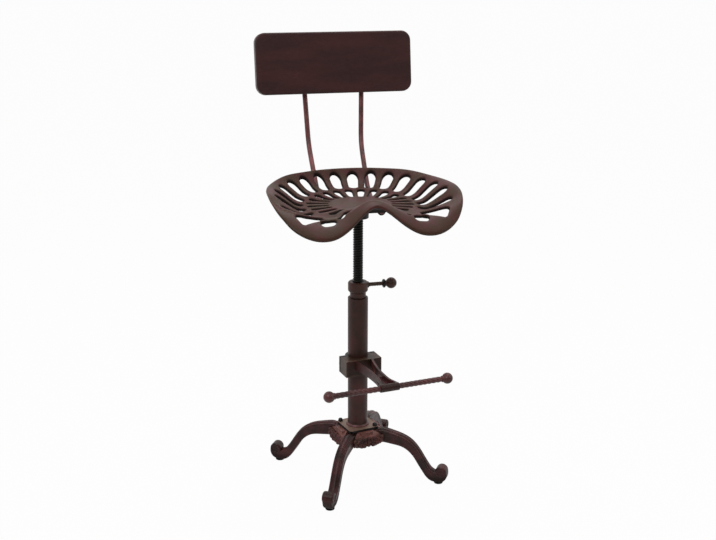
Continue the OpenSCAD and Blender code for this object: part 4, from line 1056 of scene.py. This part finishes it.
def leg_section(top, under, width):
    """The leg cut across: a ridge between two grooves on top, hollow sides and a rounded underside."""
    down = Vector((under[0] - top[0], 0, under[1] - top[1]))
    depth = down.length
    down.normalize()
    w = width / 2
    half = [(0, 0), (0.18 * w, 0.25), (0.34 * w, 1.3), (0.46 * w, 2.9), (0.58 * w, 3.1), (0.72 * w, 2.0),
            (0.88 * w, 2.0), (0.99 * w, 3.6), (0.96 * w, 0.32 * depth), (0.90 * w, 0.55 * depth),
            (0.95 * w, 0.80 * depth), (0.88 * w, 0.93 * depth), (0.62 * w, 0.99 * depth), (0, depth)]
    ring = half + [(-s, d) for s, d in half[-2:0:-1]]
    ring = smooth_line([(s, d, 0) for s, d in ring + ring[:1]], 3)[:-1]
    return [Vector((top[0], p.x, top[1])) + down * p.y for p in ring]


def leg_shell():
    """A leg that runs out along +X, lofted over its two lines."""
    tops = smooth_line([(a, 0, b) for (a, b), _ in LEG_LINES], 4)
    unders = smooth_line([(a, 0, b) for _, (a, b) in LEG_LINES], 4)
    rings = []
    for top, under in zip(tops, unders):
        width = LEG_W - LEG_TAPER * eased((top.x - TAPER_RUN[0]) / TAPER_RUN[1])
        rings.append(leg_section((top.x, top.z), (under.x, under.z), width))
    return lofted(rings)


# %% The four legs
KNOB_OUT, KNOB_UP, KNOB_R = 198.5, 30, 13
BASE_TURN = math.radians(-31.9)
# painted shade on the feet: its share at the floor, and up to what height it fades
PAINTED_FOOT_SHADE, PAINTED_FOOT_SHADE_TOP, PAINTED_FOOT_SHADE_RUN = 0.8, 25, 14  # how dark the feet are, and up to what height
knob = moved(turned([
    (0, -12.2), (2.2, -12.2, 0.8), (3.4, -11.2, 0.8), (7.8, -11.6, 1.0), (8.8, -12.9, 0.8), (11.2, -12.6, 1.2),
    (KNOB_R, -10, 2.5), (KNOB_R, 10, 2.5), (11.2, 12.6, 1.2), (8.8, 12.9, 0.8), (7.8, 11.6, 1.0),
    (3.4, 11.2, 0.8), (2.2, 12.2, 0.8), (0, 12.2)], sides=48), placed((KNOB_OUT, 0, KNOB_UP), (0, 1, 0)))
leg = leg_shell()
for i, name in enumerate(("front", "right", "back", "left")):
    turn = Matrix.Rotation(BASE_TURN + math.radians(90 * (i - 1)), 4, "Z")
    piece = new_piece("scrolled_leg_" + name, moved(leg, turn), moved(knob, turn), crease=50)
    faced_out(piece, weld=True)
    mark_painted_shade(piece, [PAINTED_FOOT_SHADE * clamp01((PAINTED_FOOT_SHADE_TOP - v.co.z / MM) / PAINTED_FOOT_SHADE_RUN) for v in piece.data.vertices])
    stand_for(piece, "base", "leg_" + name)

# %% The rubber feet
PAD_OUT = 191.5
pad = turned([(0, 0), (10, 0, 1.0), (10, 3, 0.5), (0, 3)], sides=40)
pads = [moved(pad, Matrix.Rotation(BASE_TURN + math.pi / 2 * i, 4, "Z") @ Matrix.Translation((PAD_OUT, 0, 0)))
        for i in range(4)]
stand_for(new_piece("rubber_feet", *pads), "base", "foot_pads")

# %% [markdown]
# ## The hub and its aprons
# Between the legs the hub casting has four aprons with leaf ornament in low relief. The CAD hub
# gives the aprons and their scalloped lower edge. Rounded lumps are set on their faces as a carver
# would: ribs that fan out from the top, and a row of rounded lobes along the edge.

# %% A lump of ornament
LUMP_SIDES, LUMP_ROWS = 20, 10
lump_profile = [(math.sin(math.pi * k / LUMP_ROWS), -math.cos(math.pi * k / LUMP_ROWS))
                for k in range(1, LUMP_ROWS)]
unit_lump = turned([(0, -1), *lump_profile, (0, 1)], sides=LUMP_SIDES)


def lump(centre, radii, tilt):
    """An egg-shaped lump on an apron: centre and radii along out, side and up, tilted in its face."""
    return moved(unit_lump, Matrix.Translation(centre) @ Matrix.Rotation(math.radians(tilt), 4, "X")
                 @ Matrix.Diagonal((*radii, 1)))


# %% Hub with its leaf ornament
APRON_OUT = 55
PLATE_UNDER = 112.5
# out from the apron, to the side and down from the plate; radii out, side and up; tilt in degrees
LEAF = [(-1.5, 0, 16, 5.0, 5.0, 10, 0), (0, 0, 25, 4.6, 5.4, 5.0, 0),
        (-1.5, 9.5, 17, 4.2, 4.2, 9.5, 26), (-2, 18, 15, 4.0, 5.0, 10, 52),
        (-3, 30, 12.5, 3.4, 4.4, 9, 74), (0, 11, 26, 5.0, 5.8, 5.0, 0),
        (0, 21.5, 23.5, 4.8, 5.6, 5.2, 0), (0, 32, 18, 4.4, 5.6, 5.0, 0)]
leaf = [lump((APRON_OUT + out, side * across, PLATE_UNDER - down), radii, side * tilt)
        for side in (0, -1, 1) for out, across, down, *radii, tilt in LEAF if bool(side) == bool(across)]
ornament = [moved(part, Matrix.Rotation(BASE_TURN + math.radians(45 + 90 * i), 4, "Z"))
            for i in range(4) for part in leaf]
stand_for(softened("hub_with_leaves", "hub_casting", 1.2, extra=ornament), "base", "hub_casting")

# %% Base plate
plate = softened("square_base_plate", "base_plate", 0.9)
stand_for(plate, "base", "base_plate")
# the side faces take the dark brown paint as painted shade
second_finish(plate, black_finish, lambda face: abs(face.normal.z) < 0.5)  # its side faces

# %% [markdown]
# ## Screws and bolts
# Every visible fastener is a blackened hexagon head with a low dome, or a round pan head. One
# Geometry Nodes tree builds a head from its sizes and sets it on points that carry the direction
# the head faces, each turned a little differently as a spanner would leave it.

# %% Bolt heads in Geometry Nodes
CHAMFER_FROM, CHAMFER_R, DOME_R = 0.78, 0.84, 0.92
SPANNER_SEED = 7
heads, size = new_tree("bolt heads", "Heads", {
    "Seats": "Geometry", "Across corners": "Float", "Head height": "Float", "Corners": "Int",
    "Dome": "Float", "Finish": "Material"})
head_r, low_h, top_h = (
    add_node(heads, "ShaderNodeMath", {0: size[label], 1: share}, operation="MULTIPLY")
    for label, share in (("Across corners", 0.5), ("Head height", CHAMFER_FROM),
                         ("Head height", 1 - CHAMFER_FROM)))
top_r = add_node(heads, "ShaderNodeMath", {0: head_r.outputs[0], 1: CHAMFER_R}, operation="MULTIPLY")
prism = add_node(heads, "GeometryNodeMeshCone", {
    "Vertices": size["Corners"], "Radius Top": head_r.outputs[0], "Radius Bottom": head_r.outputs[0],
    "Depth": low_h.outputs[0]})
chamfer = add_node(heads, "GeometryNodeTransform", {
    "Geometry": add_node(heads, "GeometryNodeMeshCone", {
        "Vertices": size["Corners"], "Radius Top": top_r.outputs[0], "Radius Bottom": head_r.outputs[0],
        "Depth": top_h.outputs[0]}).outputs["Mesh"],
    "Translation": add_node(heads, "ShaderNodeCombineXYZ", {2: low_h.outputs[0]}).outputs[0]})
dome = add_node(heads, "GeometryNodeTransform", {
    "Geometry": add_node(heads, "GeometryNodeMeshUVSphere", {
        "Segments": 24, "Rings": 12, "Radius": top_r.outputs[0]}).outputs["Mesh"],
    "Translation": add_node(heads, "ShaderNodeCombineXYZ", {2: size["Head height"]}).outputs[0],
    "Scale": add_node(heads, "ShaderNodeCombineXYZ", {0: DOME_R, 1: DOME_R, 2: size["Dome"]}).outputs[0]})
domed = add_node(heads, "GeometryNodeSetShadeSmooth", {"Geometry": dome.outputs[0]})
whole = add_node(heads, "GeometryNodeJoinGeometry")
for part in (prism.outputs["Mesh"], chamfer.outputs[0], domed.outputs[0]):
    heads.links.new(part, whole.inputs[0])
aim = add_node(heads, "GeometryNodeInputNamedAttribute", {"Name": "aim"}, data_type="FLOAT_VECTOR")
facing = add_node(heads, "FunctionNodeAlignRotationToVector", {"Vector": aim.outputs["Attribute"]}, axis="Z")
spin = add_node(heads, "FunctionNodeRandomValue", {2: 0.0, 3: 1.0, "Seed": SPANNER_SEED}, data_type="FLOAT")
spun = add_node(heads, "FunctionNodeRotateRotation", {
    "Rotation": facing.outputs[0],
    "Rotate By": add_node(heads, "FunctionNodeAxisAngleToRotation", {
        "Axis": (0, 0, 1), "Angle": spin.outputs[1]}).outputs[0]}, rotation_space="LOCAL")
on_seats = add_node(heads, "GeometryNodeInstanceOnPoints", {
    "Points": size["Seats"], "Instance": whole.outputs[0], "Rotation": spun.outputs[0]})
finish_tree(heads, "Heads", on_seats.outputs[0], size["Finish"])

# %% Set the fasteners
LEG_BOLT_OUT, PLATE_TOP, LEG_BOLT_LOW = 41, 118, 83.9
CLAMP_BOLT_X, CLAMP_BACK_Y, CLAMP_BOLT_Z = 36, 7, 266.25
SEAT_BOLT_LOW = 610.7
STRAP_SCREW_X, STRAP_SCREW_Y, STRAP_LOW = 72.1, (28, 52), 607.7
UP, DOWN = (0, 0, 1), (0, 0, -1)


def bolt_heads(name, body, node, seats, across, height, corners=6, dome=0.3):
    """Heads on seats (place, direction) in millimetres, shown in place of the CAD fasteners."""
    maker = new_piece(name + "_seats", ([p for p, _ in seats], []))
    aims = maker.data.attributes.new("aim", "FLOAT_VECTOR", "POINT")
    for i, (_, direction) in enumerate(seats):
        aims.data[i].vector = Vector(direction)
    piece = baked(name, heads, {
        "Across corners": across * MM, "Head height": height * MM, "Corners": corners, "Dome": dome,
        "Finish": bolt_finish}, maker)
    stand_for(piece, body, node)


at_corner = [Matrix.Rotation(BASE_TURN + math.pi / 2 * i, 3, "Z") @ Vector((LEG_BOLT_OUT, 0, 0))
             for i in range(4)]
bolt_heads("leg_bolt_heads", "base", "leg_bolts",
           [(p + Vector((0, 0, PLATE_TOP)), UP) for p in at_corner[::2]]
           + [(p + Vector((0, 0, LEG_BOLT_LOW)), DOWN) for p in at_corner[1::2]], 10.8, 5.4, dome=0.4)
bolt_heads("clamp_bolt_heads", "footrest", "clamp_bolts",
           [(on_footrest @ Vector((side * CLAMP_BOLT_X, CLAMP_BACK_Y, CLAMP_BOLT_Z)),
             on_footrest @ Vector((0, 1, 0))) for side in (-1, 1)], 11.2, 4.4)
bolt_heads("seat_bolt_heads", "seat", "seat_bolts",
           [(Vector((x, y, SEAT_BOLT_LOW)), DOWN) for x, y in SEAT_BOLTS], 13.6, 2.0, corners=24, dome=0.1)
bolt_heads("strap_screw_heads", "seat", "rod_saddle_screws",
           [(Vector((side * STRAP_SCREW_X, y, STRAP_LOW)), DOWN) for side in (-1, 1) for y in STRAP_SCREW_Y],
           9, 2.2, corners=24, dome=0.35)

# %% [markdown]
# ## Room, floor and light
# A plain pale studio: a white floor and a white surround, one large soft lamp high on the left, a
# weaker one on the right and a soft top light. The surround is white to the camera and to
# reflections, and dimmer as a light, so the paint keeps its own colour.

# %% White surround
WHITE = (1, 1, 1, 1)
ROOM_LIGHT = 0.4


def backdrop_share(tree):
    """1 for camera, glossy and transmission rays, 0 for the rest."""
    path = add_node(tree, "ShaderNodeLightPath").outputs
    both = add_node(tree, "ShaderNodeMath", {
        0: path["Is Camera Ray"], 1: path["Is Glossy Ray"]}, operation="ADD")
    return add_node(tree, "ShaderNodeMath", {
        0: both.outputs[0], 1: path["Is Transmission Ray"]}, operation="ADD", use_clamp=True).outputs[0]


world = bpy.data.worlds.new("studio")
bpy.context.scene.world = world
world.use_nodes = True
world.node_tree.nodes.clear()
room = add_node(world.node_tree, "ShaderNodeBackground", {"Color": WHITE, "Strength": ROOM_LIGHT})
white = add_node(world.node_tree, "ShaderNodeBackground", {"Color": WHITE, "Strength": 1.0})
seen = add_node(world.node_tree, "ShaderNodeMixShader", {
    0: backdrop_share(world.node_tree), 1: room.outputs[0], 2: white.outputs[0]})
add_node(world.node_tree, "ShaderNodeOutputWorld", {0: seen.outputs[0]})
print("nodes in the surround:", len(world.node_tree.nodes))

# %% White floor
FLOOR_GREY, FLOOR_WHITE = 0.55, 0.97  # what it reflects, and how much of its own white is seen
FLOOR_HALF = 40000
floor_finish, tree, _ = new_material("white studio floor")
tree.nodes.clear()
matt = add_node(tree, "ShaderNodeBsdfDiffuse", {"Color": (FLOOR_GREY, FLOOR_GREY, FLOOR_GREY, 1)})
glow = add_node(tree, "ShaderNodeEmission", {"Color": WHITE, "Strength": 1.0})
share = add_node(tree, "ShaderNodeMath", {0: backdrop_share(tree), 1: FLOOR_WHITE}, operation="MULTIPLY")
blend = add_node(tree, "ShaderNodeMixShader", {0: share.outputs[0], 1: matt.outputs[0], 2: glow.outputs[0]})
add_node(tree, "ShaderNodeOutputMaterial", {0: blend.outputs[0]})
floor = new_piece("floor", (
    [(x * FLOOR_HALF, y * FLOOR_HALF, 0) for x, y in ((-1, -1), (1, -1), (1, 1), (-1, 1))], [(0, 1, 2, 3)]))
floor.data.materials.append(floor_finish)
print("floor", 2 * FLOOR_HALF * MM, "m wide")

# %% [markdown]
# ## A dark curtain
# With white all round, every glossy face that is turned to the front would mirror white and wash
# the brown out. A half circle of black velvet stands in front of the stool, behind the camera. The
# camera doesn't see it and it casts no shadow, so it shows in reflections and takes a little of the
# light from the front.

# %% Dark curtain
CURTAIN_R, CURTAIN_LOW, CURTAIN_HIGH = 4200, 30, 3000
CURTAIN_FOLDS = 18
curtain_turns = [math.radians(180 + 180 / CURTAIN_FOLDS * k) for k in range(CURTAIN_FOLDS + 1)]
curtain = new_piece("dark_curtain", (
    [(CURTAIN_R * math.cos(t), CURTAIN_R * math.sin(t), z)
     for z in (CURTAIN_LOW, CURTAIN_HIGH) for t in curtain_turns],
    [(k, k + 1, k + CURTAIN_FOLDS + 2, k + CURTAIN_FOLDS + 1) for k in range(CURTAIN_FOLDS)]))
curtain_finish, _, velvet = new_material("black velvet")
velvet["Base Color"].default_value = linear("#101010")
velvet["Roughness"].default_value = 1.0
velvet["Specular IOR Level"].default_value = 0.0
curtain.data.materials.append(curtain_finish)
curtain.visible_camera = False
curtain.visible_shadow = False
print("curtain", len(curtain.data.polygons), "faces")

# %% Lamps
LAMPS_AIM = Vector((0, 0, 0.5))
for name, place, width, watts in (("key lamp", (-1.6, -1.7, 2.3), 1.2, 30),
                                  ("fill lamp", (2.0, -1.2, 1.4), 1.2, 12),
                                  ("top lamp", (0.2, 0.6, 2.8), 1.6, 34)):
    light = bpy.data.lights.new(name, "AREA")
    light.size = width
    light.energy = watts
    lamp = in_scene(name, light)
    lamp.location = place
    lamp.rotation_euler = (LAMPS_AIM - Vector(place)).to_track_quat("-Z", "Y").to_euler()
bpy.context.scene.view_settings.view_transform = "Standard"
print("lamps:", len(bpy.data.lights))

# %% [markdown]
# ## Pieces kept from CAD
# Some small pieces need nothing but a finish, so the CAD shape shows. Their names are printed.

# %% Pieces kept from CAD
for node, shape in nodes.items():
    if not shape.hide_render:
        print("kept from CAD:", node)
